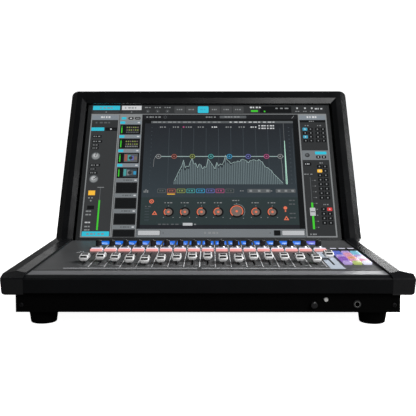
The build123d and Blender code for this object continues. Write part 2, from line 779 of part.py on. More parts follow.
def volume_knob():
    """Small knob with a shaft through the front wall."""
    front = front_wall(VOLUME_X, FRONT_CONTROL_Z)
    with BuildPart() as knob:
        with BuildSketch(front.offset(VOLUME_GAP)):
            Circle(VOLUME_R)
        extrude(amount=VOLUME_LENGTH)
        chamfer(knob.faces().sort_by(Axis.Y)[0].edges(), 0.6)
        with BuildSketch(front.offset(-8)):
            Circle(VOLUME_SHAFT_R)
        extrude(amount=8 + VOLUME_GAP)
        with BuildSketch(front.offset(VOLUME_GAP + VOLUME_LENGTH)):
            with Locations((0, 3.0)):
                Rectangle(0.9, 2.6)
        extrude(amount=-0.5, mode=Mode.SUBTRACT)
    save(knob, "volume_knob")


def front_button():
    """Round push button beside the volume knob."""
    front = front_wall(BUTTON_X, BUTTON_Z)
    with BuildPart() as button:
        with BuildSketch(front.offset(-BUTTON_INSIDE)):
            Circle(BUTTON_R)
        extrude(amount=BUTTON_INSIDE + BUTTON_PROUD)
        fillet(button.faces().sort_by(Axis.Y)[0].edges(), 0.5)
    save(button, "front_button")


def power_switch():
    """Rocker with a shallow V face on two pivot stubs, drawn in its off position."""
    side = rocker_side(ROCKER_THROW / 2)
    with BuildPart() as rocker:
        with BuildSketch(side):
            with BuildLine():
                Polyline(
                    (-2.5, -3),
                    (4.2, -ROCKER_R + 0.9),
                    (6.2, -ROCKER_R + 1.2),
                    (5.0, 0),
                    (6.2, ROCKER_R - 1.2),
                    (4.2, ROCKER_R - 0.9),
                    (-2.5, 3),
                    close=True,
                )
            make_face()
        extrude(amount=ROCKER_WIDTH / 2, both=True)
        with BuildSketch(side):
            Circle(STUB_R)
        extrude(amount=ROCKER_WIDTH / 2 + STUB_LENGTH, both=True)
    save(rocker, "power_switch")


# ---------------------------------------------------------------- build
cheek("right_cheek", 1)
cheek("left_cheek", -1)
front_rail()
deck_panel()
chassis_pan()
rear_panel()
screen_back_cover()
screen_top_rail()
screen_plate("touch_glass", GLASS_HALF, 0.4, GLASS_TOP, 0.0, GLASS_T)
screen_plate("lcd_panel", 245.0, 1.5, GLASS_TOP - 1.5, -GLASS_T - 0.2, 11.0)
channel_displays()
fader_tracks()
control_board()
plain_box("main_board", (330.0, 130.0, 1.6), (-60.0, FRONT_Y + 450, 30.0),
          chips=[(-90, 0, 60, 60, 18), (40, 20, 90, 30, 12), (120, -30, 40, 40, 6)])
plain_box("power_supply", (90.0, 150.0, 42.0), (190.0, FRONT_Y + 450, PAN_Z + SHEET + 21.1))
rear_sockets()
mains_inlet()
phones_jack()
rubber_feet()
screws()

for number, (strip_x, rest) in enumerate(zip(STRIP_X, FADER_REST), start=1):
    suffix = f"{number:02d}" if number <= CHANNELS else "master"
    fader(f"fader_{suffix}", strip_x, rest)
    encoder(f"encoder_{suffix}", strip_x)

opening = key_rows()
keys("mute_keys", [([(x, MUTE_Y) for x in STRIP_X], *opening["channel"][1:])])
keys("select_keys", [([(x, SELECT_Y) for x in STRIP_X], *opening["channel"][1:])])
keys("user_keys", [opening["user"], opening["soft"]])
volume_knob()
front_button()
power_switch()
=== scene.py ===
import bmesh
import bpy
import json
from math import cos, pi, radians, sin, sqrt
from mathutils import Matrix, Vector


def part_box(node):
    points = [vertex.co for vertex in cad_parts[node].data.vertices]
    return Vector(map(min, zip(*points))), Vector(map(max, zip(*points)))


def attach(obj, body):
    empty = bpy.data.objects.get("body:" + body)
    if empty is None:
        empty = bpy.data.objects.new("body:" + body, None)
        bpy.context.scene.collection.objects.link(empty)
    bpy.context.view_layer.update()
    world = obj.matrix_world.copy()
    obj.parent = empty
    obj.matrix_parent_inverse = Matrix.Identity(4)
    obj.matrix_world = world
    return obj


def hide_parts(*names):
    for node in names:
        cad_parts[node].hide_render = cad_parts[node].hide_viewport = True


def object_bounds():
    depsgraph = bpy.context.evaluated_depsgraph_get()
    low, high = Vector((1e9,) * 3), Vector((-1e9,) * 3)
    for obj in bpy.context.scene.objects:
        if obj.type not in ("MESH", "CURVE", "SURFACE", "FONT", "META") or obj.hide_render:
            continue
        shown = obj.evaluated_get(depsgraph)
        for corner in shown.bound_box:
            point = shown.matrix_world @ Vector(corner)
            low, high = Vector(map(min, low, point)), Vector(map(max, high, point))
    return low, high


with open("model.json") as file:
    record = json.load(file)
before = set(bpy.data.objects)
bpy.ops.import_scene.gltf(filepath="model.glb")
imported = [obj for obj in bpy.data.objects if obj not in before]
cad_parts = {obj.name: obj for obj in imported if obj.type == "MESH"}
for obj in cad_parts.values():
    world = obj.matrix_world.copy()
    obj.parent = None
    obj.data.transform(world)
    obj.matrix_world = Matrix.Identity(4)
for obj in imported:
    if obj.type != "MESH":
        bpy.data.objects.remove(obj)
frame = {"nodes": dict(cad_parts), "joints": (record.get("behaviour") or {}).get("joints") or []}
cad_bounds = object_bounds()

MM = 0.001
JOINTS = {joint["name"]: joint for joint in frame["joints"]}
CHANNELS = [name.split("_")[1] for name in JOINTS if name.startswith("encoder_")]


# ---------------------------------------------------------------- local frames, in millimetres
def place(origin, x_dir, z_dir):
    """Matrix from millimetres on a surface to metres in the model: local X, local Y, and Z out."""
    z = Vector(z_dir).normalized()
    x = Vector(x_dir).normalized()
    matrix = Matrix((x, z.cross(x), z)).transposed().to_4x4()
    matrix.translation = origin
    return matrix @ Matrix.Scale(MM, 4)


def deck_place():
    """The deck plane, measured from the front rail face, from one knob's hinge."""
    hinge = JOINTS["encoder_01_turn"]
    up = Vector(hinge["axis"])
    along = up.cross(Vector((1, 0, 0))) * -1
    point = Vector(hinge["pos_m"])
    point -= along * ((point.y - cad_bounds[0][1]) / along.y)
    return place((0, point.y, point.z), (1, 0, 0), up)


def glass_place():
    """The front of the touch glass, measured from the middle of its lower edge."""
    mesh = frame["nodes"]["touch_glass"].data
    facing = [polygon for polygon in mesh.polygons if polygon.normal.y < -0.1]
    normal = max(facing, key=lambda polygon: polygon.area).normal.copy()
    up = normal.cross(Vector((1, 0, 0)))
    reach = max(vertex.co.dot(normal) for vertex in mesh.vertices)
    front = [vertex.co for vertex in mesh.vertices if reach - vertex.co.dot(normal) < 1e-4]
    corner = min(front, key=lambda point: point.dot(up))
    return place((0, corner.y, corner.z), (1, 0, 0), normal)


def local_box(name, matrix):
    """Lowest and highest corners of a CAD node in a local frame, in millimetres."""
    inverse = matrix.inverted()
    points = [inverse @ vertex.co for vertex in frame["nodes"][name].data.vertices]
    low = Vector([min(point[i] for point in points) for i in range(3)])
    high = Vector([max(point[i] for point in points) for i in range(3)])
    return low, high


def centre_of(name, matrix):
    """Middle of a CAD node's box across a local frame, with its lowest and highest Z."""
    low, high = local_box(name, matrix)
    return (low.x + high.x) / 2, (low.y + high.y) / 2, low.z, high.z


def add_object(name, data):
    """A new object in the scene."""
    thing = bpy.data.objects.new(name, data)
    bpy.context.scene.collection.objects.link(thing)
    return thing


DECK = deck_place()
GLASS = glass_place()
REAR = place((0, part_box("rear_panel")[1].y, 0), (-1, 0, 0), (0, 1, 0))
FRONT = place((0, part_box("chassis_pan")[0].y, 0), (1, 0, 0), (0, -1, 0))


# ---------------------------------------------------------------- materials
def shade(red, green, blue):
    """Linear colour from the usual 0 to 255 values."""
    return tuple((value / 255 / 12.92 if value < 11 else ((value / 255 + 0.055) / 1.055) ** 2.4)
                 for value in (red, green, blue)) + (1.0,)


def node(tree, kind, **inputs):
    """A new shader node with some inputs set, where an underscore stands for a space."""
    made = tree.nodes.new("ShaderNode" + kind)
    for name, value in inputs.items():
        made.inputs[name.replace("_", " ")].default_value = value
    return made


def link(source, output, target, entry):
    """Joins an output of one node to an input of another."""
    source.id_data.links.new(source.outputs[output], target.inputs[entry])


def new_material(name):
    """A node material with its tree and its shader."""
    material = bpy.data.materials.new(name)
    material.use_nodes = True
    return material, material.node_tree, material.node_tree.nodes["Principled BSDF"]


def colour_mix(tree, low, high):
    """Mixes two colours: input 0 is the share, inputs 6 and 7 are the colours, output 2 is the result."""
    mix = tree.nodes.new("ShaderNodeMix")
    mix.data_type = "RGBA"
    mix.inputs[6].default_value = low
    mix.inputs[7].default_value = high
    return mix


def scaled(colour, factor):
    """A colour made lighter or darker, within the range that a shader takes."""
    return tuple(min(1, value * factor) for value in colour[:3]) + (1,)


def surface(name, colour, rough, metal=0.0, grain=0.3, grain_mm=0.6, bump_mm=0.02, mottle=0.25,
            rough_span=0.08, stretch=(1, 1, 1), specular=0.5, speckle=0.1):
    """Opaque finish: a fine grain in the bump and the colour, and slow changes of colour and gloss."""
    material, tree, shader = new_material(name)
    shader.inputs["Metallic"].default_value = metal
    shader.inputs["Specular IOR Level"].default_value = specular
    where = node(tree, "TexCoord")
    scale = node(tree, "Mapping", Scale=stretch)
    link(where, "Object", scale, "Vector")
    fine = node(tree, "TexNoise", Scale=1 / (grain_mm * MM), Detail=3)
    link(scale, "Vector", fine, "Vector")
    bump = node(tree, "Bump", Strength=grain, Distance=bump_mm * MM)
    link(fine, "Fac", bump, "Height")
    link(bump, "Normal", shader, "Normal")
    slow = node(tree, "TexNoise", Scale=22, Detail=4)
    link(where, "Object", slow, "Vector")
    tint = colour_mix(tree, scaled(colour, 1 - mottle), scaled(colour, 1 + mottle))
    link(slow, "Fac", tint, 0)
    grains = node(tree, "MapRange", From_Min=0.3, From_Max=0.7, To_Min=1 - speckle, To_Max=1 + speckle)
    link(fine, "Fac", grains, "Value")
    speckled = node(tree, "VectorMath")
    speckled.operation = "SCALE"
    link(tint, 2, speckled, 0)
    link(grains, "Result", speckled, "Scale")
    link(speckled, "Vector", shader, "Base Color")
    gloss = node(tree, "MapRange", To_Min=rough - rough_span, To_Max=rough + rough_span)
    link(slow, "Fac", gloss, "Value")
    link(gloss, "Result", shader, "Roughness")
    return material


def lit(name, colour, strength=1.0, fade=0.12, fade_mm=40.0):
    """Light from a display or from inside a key, a little uneven over its area."""
    material, tree, shader = new_material(name)
    shader.inputs["Base Color"].default_value = scaled(colour, 0.3)
    shader.inputs["Roughness"].default_value = 0.3
    shader.inputs["Emission Color"].default_value = colour
    where = node(tree, "TexCoord")
    slow = node(tree, "TexNoise", Scale=1 / (fade_mm * MM))
    link(where, "Object", slow, "Vector")
    level = node(tree, "MapRange", To_Min=strength * (1 - fade), To_Max=strength * (1 + fade))
    link(slow, "Fac", level, "Value")
    link(level, "Result", shader, "Emission Strength")
    return material


def fading(material, low, high, low_z, high_z):
    """Turns a lit material into one that fades evenly from a low colour to a high one with height."""
    tree = material.node_tree
    where = node(tree, "TexCoord")
    split = node(tree, "SeparateXYZ")
    link(where, "Object", split, "Vector")
    share = node(tree, "MapRange", From_Min=low_z, From_Max=high_z)
    link(split, "Z", share, "Value")
    blend = colour_mix(tree, low, high)
    link(share, "Result", blend, 0)
    link(blend, 2, tree.nodes["Principled BSDF"], "Emission Color")


def clear_glass(name):
    """Cover glass: clear in the display window, with a thin gloss."""
    material, tree, shader = new_material(name)
    tree.nodes.remove(shader)
    clear = node(tree, "BsdfTransparent", Color=(0.97, 0.975, 0.975, 1))
    gloss = node(tree, "BsdfGlossy")
    where = node(tree, "TexCoord")
    smears = node(tree, "TexNoise", Scale=30)
    link(where, "Object", smears, "Vector")
    level = node(tree, "MapRange", To_Min=0.03, To_Max=0.10)
    link(smears, "Fac", level, "Value")
    link(level, "Result", gloss, "Roughness")
    fresnel = node(tree, "Fresnel", IOR=1.35)
    coating = node(tree, "Math")
    coating.operation = "MULTIPLY"
    coating.inputs[1].default_value = 0.2
    link(fresnel, "Fac", coating, 0)
    mix = node(tree, "MixShader")
    link(coating, "Value", mix, "Fac")
    link(clear, "BSDF", mix, 1)
    link(gloss, "BSDF", mix, 2)
    link(mix, "Shader", tree.nodes["Material Output"], "Surface")
    return material


FINISH = {
    "moulding": surface("moulding", shade(12, 13, 15), 0.25, grain=0.15, bump_mm=0.01, specular=0.4,
                        speckle=0.04),
    "deck": surface("deck_paint", shade(64, 65, 66), 0.42, grain=0.7, grain_mm=0.8, bump_mm=0.06, mottle=0.12,
                    speckle=0.35),
    # hand rest strip: a real raised strip whose pale tone is partly painted sheen, standing in for the bright
    # reflection band along the front of the deck
    "sheen_strip": surface("hand_rest_strip_painted_sheen", shade(112, 113, 116), 0.42, grain_mm=0.5, mottle=0.06,
                    stretch=(0.1, 1, 1)),
    "rail": surface("rail_black", shade(12, 13, 15), 0.34, grain_mm=0.5, specular=0.14),
    # chassis pan steel: its near-black tone is partly painted shade, a darker copy of the back steel standing
    # in for the shadow under the deck's overhang
    "steel": surface("black_steel", shade(3, 3, 3), 0.7, grain=0.6, grain_mm=0.45, bump_mm=0.04,
                     specular=0.06),
    "back_steel": surface("back_steel", shade(30, 31, 34), 0.5, grain=0.6, grain_mm=0.45, bump_mm=0.04),
    "rubber": surface("foot_rubber", shade(3, 3, 3), 0.8, grain=0.6, grain_mm=1.2, bump_mm=0.08,
                      specular=0.08),
    "silver": surface("silver_cap", shade(236, 236, 236), 0.3, metal=0.1, grain=0.25, grain_mm=0.5,
                      bump_mm=0.01, mottle=0.05, stretch=(1, 0.15, 1)),
    "grip": surface("grip_insert", shade(24, 24, 26), 0.55, grain=0.6, grain_mm=0.3),
    "knob": surface("knob_black", shade(17, 17, 19), 0.36, grain_mm=0.3, bump_mm=0.01),
    "skirt": surface("knob_skirt", shade(120, 122, 126), 0.3, metal=0.6, grain=0.2, grain_mm=0.3,
                     bump_mm=0.01),
    "socket": surface("socket_black", shade(20, 20, 21), 0.45, grain=0.4, grain_mm=0.5),
    # near-black painted shade, standing in for the depth of holes, slots, screw recesses and bores that are
    # not cut, and for the dark inside behind the rear vents; also the thin dark line on the deck behind the
    # hand rest strip
    "hole": surface("hole_shade_and_line_black", shade(4, 4, 4), 0.8, grain=0.2, specular=0.1),
    "nickel": surface("nickel", shade(190, 190, 188), 0.24, metal=1.0, grain=0.15, grain_mm=0.4, bump_mm=0.01,
                      mottle=0.06, rough_span=0.06),
    "contact": surface("contact_gold", shade(212, 175, 95), 0.25, metal=1.0, grain=0.1, mottle=0.05),
    "screw": surface("screw_black", shade(34, 34, 36), 0.4, metal=0.7, grain=0.2, grain_mm=0.4, bump_mm=0.01),
    "ink": surface("white_ink", shade(225, 226, 228), 0.7, grain=0.2, grain_mm=0.3, bump_mm=0.01,
                   mottle=0.08),
    "ink_dim": surface("grey_ink", shade(176, 177, 180), 0.7, grain=0.2, grain_mm=0.3, bump_mm=0.01,
                       mottle=0.1),
    "panel": surface("master_panel", shade(176, 186, 198), 0.5, grain_mm=0.4, mottle=0.05),
    "green_board": surface("circuit_board", shade(24, 70, 38), 0.5, mottle=0.2),
    "tin": surface("bare_metal", shade(170, 172, 175), 0.35, metal=0.9, grain=0.2, mottle=0.08),
    "bezel": surface("bezel_black", shade(42, 43, 44), 0.4, grain=0.1, mottle=0.1),
    "white_plastic": surface("button_white", shade(225, 225, 222), 0.4, grain=0.2, grain_mm=0.4, mottle=0.03),
    "glass": clear_glass("cover_glass"),
}


# ---------------------------------------------------------------- mesh building
def resample(table, value):
    """Straight-line reading of a table of (position, result) pairs."""
    for (a, result_a), (b, result_b) in zip(table, table[1:]):
        if value <= b:
            return result_a + (result_b - result_a) * max(0.0, (value - a) / (b - a))
    return table[-1][1]


def circle(x, y, radius, count=32, start=0.0):
    """Points round a circle, counter-clockwise."""
    return [(x + radius * cos(start + 2 * pi * n / count), y + radius * sin(start + 2 * pi * n / count))
            for n in range(count)]


def round_rectangle(x, y, width, length, radius, steps=4):
    """Outline of a rectangle with round corners, counter-clockwise."""
    points = []
    for n, (side_x, side_y) in enumerate(((1, 1), (-1, 1), (-1, -1), (1, -1))):
        centre_x = x + side_x * (width / 2 - radius)
        centre_y = y + side_y * (length / 2 - radius)
        for step in range(steps + 1):
            angle = (n + step / steps) * pi / 2
            points.append((centre_x + radius * cos(angle), centre_y + radius * sin(angle)))
    return points


class Piece:
    """Collects closed solids, drawn in millimetres of one local frame, into one object."""

    def __init__(self, matrix, *finishes):
        self.matrix = matrix
        self.finishes = list(finishes)
        self.mesh = bmesh.new()

    def vertex(self, x, y, z):
        return self.mesh.verts.new(self.matrix @ Vector((x, y, z)))

    def loft(self, rings, finish=0):
        """Joins closed rings of (x, y, z) points, counter-clockwise from the last ring, and caps them."""
        rows = [[self.vertex(*point) for point in ring] for ring in rings]
        count = len(rows[0])
        faces = [self.mesh.faces.new(rows[0][::-1]), self.mesh.faces.new(rows[-1])]
        for low, high in zip(rows, rows[1:]):
            for n in range(count):
                following = (n + 1) % count
                faces.append(self.mesh.faces.new((low[n], low[following], high[following], high[n])))
        for face in faces:
            face.material_index = finish

    def prism(self, outline, low, high, finish=0, bevel=0.0):
        """An outline raised from low to high, with an optional small bevel round its top."""
        rings = [[(x, y, low) for x, y in outline]]
        if bevel:
            middle_x = sum(x for x, y in outline) / len(outline)
            middle_y = sum(y for x, y in outline) / len(outline)
            half_x = max(x for x, y in outline) - middle_x
            half_y = max(y for x, y in outline) - middle_y
            rings.append([(x, y, high - bevel) for x, y in outline])
            for share in (0.3, 1.0):
                shrink_x = 1 - bevel * share / half_x
                shrink_y = 1 - bevel * share / half_y
                level = high - bevel * (1 - share) * 0.45
                rings.append([(middle_x + (x - middle_x) * shrink_x,
                               middle_y + (y - middle_y) * shrink_y, level) for x, y in outline])
        else:
            rings.append([(x, y, high) for x, y in outline])
        self.loft(rings, finish)

    def slab(self, x0, y0, x1, y1, low, high, finish=0):
        """A rectangular block given by two corners."""
        self.prism([(x0, y0), (x1, y0), (x1, y1), (x0, y1)], low, high, finish)

    def ring(self, x, y, outer, inner, low, high, finish=0, count=32, start=0.0, sweep=2 * pi):
        """A flat ring, or part of one as an arc."""
        whole = sweep >= 2 * pi
        steps = count if whole else max(4, int(count * sweep / (2 * pi)))
        corners = []
        for n in range(steps if whole else steps + 1):
            angle = start + sweep * n / steps
            section = ((inner, low), (outer, low), (outer, high), (inner, high))
            corners.append([self.vertex(x + r * cos(angle), y + r * sin(angle), z) for r, z in section])
        last = len(corners)
        for n in range(last if whole else last - 1):
            here, there = corners[n], corners[(n + 1) % last]
            for side in range(4):
                following = (side + 1) % 4
                face = self.mesh.faces.new((here[side], here[following], there[following], there[side]))
                face.material_index = finish
        if not whole:
            self.mesh.faces.new(corners[0][::-1]).material_index = finish
            self.mesh.faces.new(corners[-1]).material_index = finish

    def turned(self, x, y, profile, count=48, flutes=0, depth=0.0, fluted=(0.0, 0.0), finish=0):
        """A solid of revolution from (radius, height) pairs, with optional flutes between two heights."""
        rings = []
        for radius, height in profile:
            ring = []
            for n in range(count):
                angle = 2 * pi * n / count
                cut = depth * (0.5 - 0.5 * cos(flutes * angle)) if fluted[0] <= height <= fluted[1] else 0.0
                ring.append((x + (radius - cut) * cos(angle), y + (radius - cut) * sin(angle), height))
            rings.append(ring)
        self.loft(rings, finish)

    def strip(self, points, width, low, high, finish=0):
        """A flat line of even width through points, one block for each stretch."""
        for (x0, y0), (x1, y1) in zip(points, points[1:]):
            reach = sqrt((x1 - x0) ** 2 + (y1 - y0) ** 2)
            dx, dy = (x1 - x0) / reach * width / 2, (y1 - y0) / reach * width / 2
            outline = [(x0 - dx - dy, y0 - dy + dx), (x0 - dx + dy, y0 - dy - dx),
                       (x1 + dx + dy, y1 + dy - dx), (x1 + dx - dy, y1 + dy + dx)]
            self.prism(outline, low, high, finish)

    def done(self, name, body, smooth=35.0, replaces=(), slot=None):
        """Makes the object, gives it its finishes and its body, and hides the CAD nodes it stands for."""
        bmesh.ops.recalc_face_normals(self.mesh, faces=self.mesh.faces)
        data = bpy.data.meshes.new(name)
        self.mesh.to_mesh(data)
        self.mesh.free()
        data.shade_smooth()
        data.set_sharp_from_angle(angle=radians(smooth))
        for finish in self.finishes:
            data.materials.append(FINISH[finish] if isinstance(finish, str) else finish)
        thing = add_object(name, data)
        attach(thing, body)
        if replaces:
            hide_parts(*replaces)


# ---------------------------------------------------------------- CAD nodes that keep their shape
def finish_nodes():
    """Gives every CAD node that stays in view its finish."""
    kept = {
        "moulding": ["right_cheek", "left_cheek", "screen_top_rail"],
        "rail": ["front_rail"],
        "deck": ["deck_panel"],
        # the chassis pan's near-black steel is partly painted shade of the overhang
        "steel": ["chassis_pan"],
        "back_steel": ["rear_panel", "screen_back_cover"],
        "rubber": ["rubber_feet"],
        "tin": ["power_supply", "fader_tracks"],
        "green_board": ["control_board", "main_board"],
        "glass": ["touch_glass"],
        "socket": ["mains_inlet", "phones_jack"],
        "knob": ["power_switch"],
    }
    for finish, names in kept.items():
        for name in names:
            for slot in frame["nodes"][name].material_slots:
                slot.material = FINISH[finish]


# ---------------------------------------------------------------- deck
# Half width by height above the deck, and the side profile as (along, height) pairs.
CAP_HALF_WIDTH = [(2.6, 3.4), (3.4, 4.4), (4.6, 5.6), (6.0, 6.6), (7.6, 7.1), (9.6, 7.0), (12.6, 6.2)]
CAP_PROFILE = [(-9.6, 2.6), (-11.2, 3.4), (-12.0, 5.0), (-11.7, 8.0), (-11.4, 8.4), (-8.8, 11.2),
               (-8.2, 11.5), (-7.2, 11.6), (-5.2, 11.2), (-3.2, 11.05), (-1.6, 11.2), (5.6, 12.4),
               (6.4, 12.6), (8.4, 12.3), (10.0, 10.9), (11.4, 8.0), (12.0, 5.0), (11.2, 3.4), (9.6, 2.6)]
CAP_HALF_LENGTH = 12.0
CAP_MIDDLE = 7.4
# Share of the half width, and how far the profile is drawn in there to round the sides.
CAP_STATIONS = [(-1.0, 0.9), (-0.97, 0.35), (-0.9, 0.0), (0.9, 0.0), (0.97, 0.35), (1.0, 0.9)]


def fader_cap(channel):
    """Silver cap with two ribbed black inserts, on a flat lever."""
    name = f"fader_{channel}"
    x, y, foot = centre_of(name, DECK)[:3]
    cap = Piece(DECK, "silver", "grip", "ink", "nickel")
    rings = []
    for share, inset in CAP_STATIONS:
        squeeze = 1 - inset / CAP_HALF_LENGTH
        rings.append([(x + share * resample(CAP_HALF_WIDTH, height), y + along * squeeze,
                       CAP_MIDDLE + (height - CAP_MIDDLE) * squeeze) for along, height in CAP_PROFILE])
    cap.loft(rings)
    insert(cap, x, y, (-11.3, 8.5), (-9.0, 11.0), 4.9)
    insert(cap, x, y, (-1.2, 11.27), (5.4, 12.37), 4.7)
    cap.slab(x - 4.9, y + 6.2, x + 4.9, y + 6.8, 12.3, 12.6, 2)
    cap.slab(x - 0.9, y - 3.0, x + 0.9, y + 3.0, foot, 3.0, 3)
    cap.done(f"cap_{channel}", name, replaces=[name], slot="fader_silver")


def insert(cap, x, y, start, end, half):
    """A ribbed black insert lying on a sloping part of a cap."""
    ribs = 4
    run, rise = end[0] - start[0], end[1] - start[1]
    reach = sqrt(run * run + rise * rise)
    out = (-rise / reach, run / reach)
    for n in range(ribs):
        lines = []
        for share in (n / ribs, (n + 0.86) / ribs):
            for lift in (-0.5, 0.2):
                lines.append((start[0] + run * share + out[0] * lift,
                              start[1] + rise * share + out[1] * lift))
        section = (lines[0], lines[1], lines[3], lines[2])
        cap.loft([[(x + side * half, y + along, height) for along, height in section]
                  for side in (-1, 1)], 1)


def knob(channel):
    """Rotary knob: a satin skirt, a fluted body and a pointer line."""
    name = f"encoder_{channel}"
    x, y, foot, top = centre_of(name, DECK)
    piece = Piece(DECK, "knob", "skirt", "ink")
    piece.turned(x, y, [(7.9, 0.6), (8.3, 0.9), (8.4, 1.5), (8.0, 2.0), (6.2, 3.6), (5.6, 4.4), (5.2, 4.5)],
                 finish=1)
    body = [(4.9, 4.3), (5.3, 4.7), (5.3, 5.0), (5.2, 6.5), (5.1, 9.0), (5.0, 11.5), (4.9, 12.8), (4.8, 13.2),
            (4.5, 13.9), (4.0, 14.3), (3.4, top), (2.8, top - 0.15)]
    piece.turned(x, y, body, count=96, flutes=24, depth=0.28, fluted=(4.9, 13.0))
    piece.turned(x, y, [(3.0, foot), (3.0, 0.7)], count=24)
    piece.slab(x - 0.35, y + 1.2, x + 0.35, y + 4.2, top - 0.4, top - 0.02, 2)
    piece.done(f"knob_{channel}", name, replaces=[name], slot="knob_black")


USER_SHADES = {
    "lilac": (196, 172, 236),
    "purple": (150, 100, 205),
    "blue": (96, 118, 222),
    "rose": (238, 168, 196),
    "orange": (238, 170, 120),
    "lime": (196, 214, 120),
    "cyan": (130, 206, 232),
}
KEY_LIGHTS = {name: lit(f"key_{name}", shade(*tone), 0.62, fade=0.10, fade_mm=6)
              for name, tone in USER_SHADES.items()}
KEY_LIGHTS["white"] = lit("key_white", shade(222, 222, 240), 0.92, fade=0.06, fade_mm=4)
KEY_LIGHTS["pink"] = lit("key_pink", shade(232, 158, 154), 0.92, fade=0.10, fade_mm=4)
DISPLAY_LIGHT = {
    "blue": lit("window_blue", shade(6, 104, 220), 0.85, fade=0.15, fade_mm=8),
    "violet": lit("window_violet", shade(92, 92, 206), 0.85, fade=0.15, fade_mm=8),
    "pale": lit("window_pale", shade(205, 226, 245), 0.9),
}
CHANNEL_KEY = (19.5, 8.0)
USER_KEY = (11.6, 16.8)
USER_PITCH = 18.4
SOFT_KEY = (12.4, 8.0)
KEY_DEPTH = 7.3


def key_cap(piece, x, y, size, top, body=0, face=1):
    """A key: a coloured translucent body with a slightly raised face, each in the finish given."""
    width, length = size
    rim = 2.0
    piece.prism(round_rectangle(x, y, width, length, 0.7, 3), top - KEY_DEPTH, top - 0.05, body, bevel=0.5)
    piece.prism(round_rectangle(x, y, width - rim, length - rim, 0.6, 3), top - 0.4, top, face, bevel=0.05)


def key_marks(piece, x, y, top, finish):
    """Fine dark lines on a key, where the real one shows its function."""
    half, thick, pitch, shorter = 4.2, 0.6, 3.2, 1.3
    for n in range(4):
        foot = y - 5.4 + n * pitch
        piece.slab(x - half, foot, x + half - shorter * (n % 2), foot + thick, top - 0.1, top + 0.02, finish)


def strip_positions():
    """X of each channel strip and of the master strip, in millimetres."""
    return [JOINTS[f"encoder_{channel}_turn"]["pos_m"][0] / MM for channel in CHANNELS]


def channel_keys():
    """The front row of keys is lit red, the rear row white."""
    for name, light in (("mute_keys", "pink"), ("select_keys", "white")):
        low, high = local_box(name, DECK)
        row = Piece(DECK, KEY_LIGHTS[light], KEY_LIGHTS[light])
        for x in strip_positions():
            key_cap(row, x, (low.y + high.y) / 2, CHANNEL_KEY, high.z)
        row.done(f"{name}_lit", name, replaces=[name])


USER_COLOURS = [
    ["lilac", "purple", "purple", "lilac", "blue", "blue"],
    ["lime", "rose", "orange", "rose", "rose", "lilac"],
    ["white", "rose", "white", "lilac", "cyan", "cyan"],
]


def user_keys():
    """Three columns of coloured keys and a row of three white ones behind them."""
    low, high = local_box("user_keys", DECK)
    columns = [low.x + SOFT_KEY[0] / 2, (low.x + high.x) / 2, high.x - SOFT_KEY[0] / 2]
    first = low.y + USER_KEY[1] / 2
    soft_row = high.y - SOFT_KEY[1] / 2
    names = sorted({name for column in USER_COLOURS for name in column} | {"white"})
    piece = Piece(DECK, *[KEY_LIGHTS[name] for name in names], "knob")
    for column, colours in zip(columns, USER_COLOURS):
        for n, name in enumerate(colours):
            colour = names.index(name)
            y = first + n * USER_PITCH
            key_cap(piece, column, y, USER_KEY, high.z, colour, colour)
            key_marks(piece, column, y, high.z, len(names))
        key_cap(piece, column, soft_row, SOFT_KEY, high.z, len(names), names.index("white"))
    piece.done("user_keys_lit", "user_keys", replaces=["user_keys"])


def channel_windows():
    """The small displays: a black glass frame, a lit field and a few marks in it."""
    low, high = local_box("channel_displays", DECK)
    middle = (low.y + high.y) / 2
    length = high.y - low.y
    width, rim = 21.0, 1.6
    mark_low, mark_high = high.z - 0.2, high.z
    piece = Piece(DECK, "bezel", DISPLAY_LIGHT["blue"], DISPLAY_LIGHT["violet"], DISPLAY_LIGHT["pale"])
    for n, x in enumerate(strip_positions()):
        field = 2 if n == len(CHANNELS) - 1 else 1
        lit_outline = round_rectangle(x, middle, width - rim, length - rim, 0.5)
        piece.prism(round_rectangle(x, middle, width, length, 0.8), low.z, high.z - 0.25, 0)
        piece.prism(lit_outline, high.z - 0.4, high.z - 0.1, field)
        for line in range(3):
            foot = middle - 1.5 - line * 3.4
            piece.slab(x - 7, foot, x + 5 - 3 * line, foot + 1.4, mark_low, mark_high, 3)
        piece.ring(x, middle - 14.5, 4.4, 3.6, mark_low, mark_high, 3, start=-0.6, sweep=4.3)
        piece.slab(x + 5.5, middle - 19, x + 7.0, middle - 10 + 2 * sin(n), mark_low, mark_high, 3)
    piece.done("channel_windows", "console", replaces=["channel_displays"])


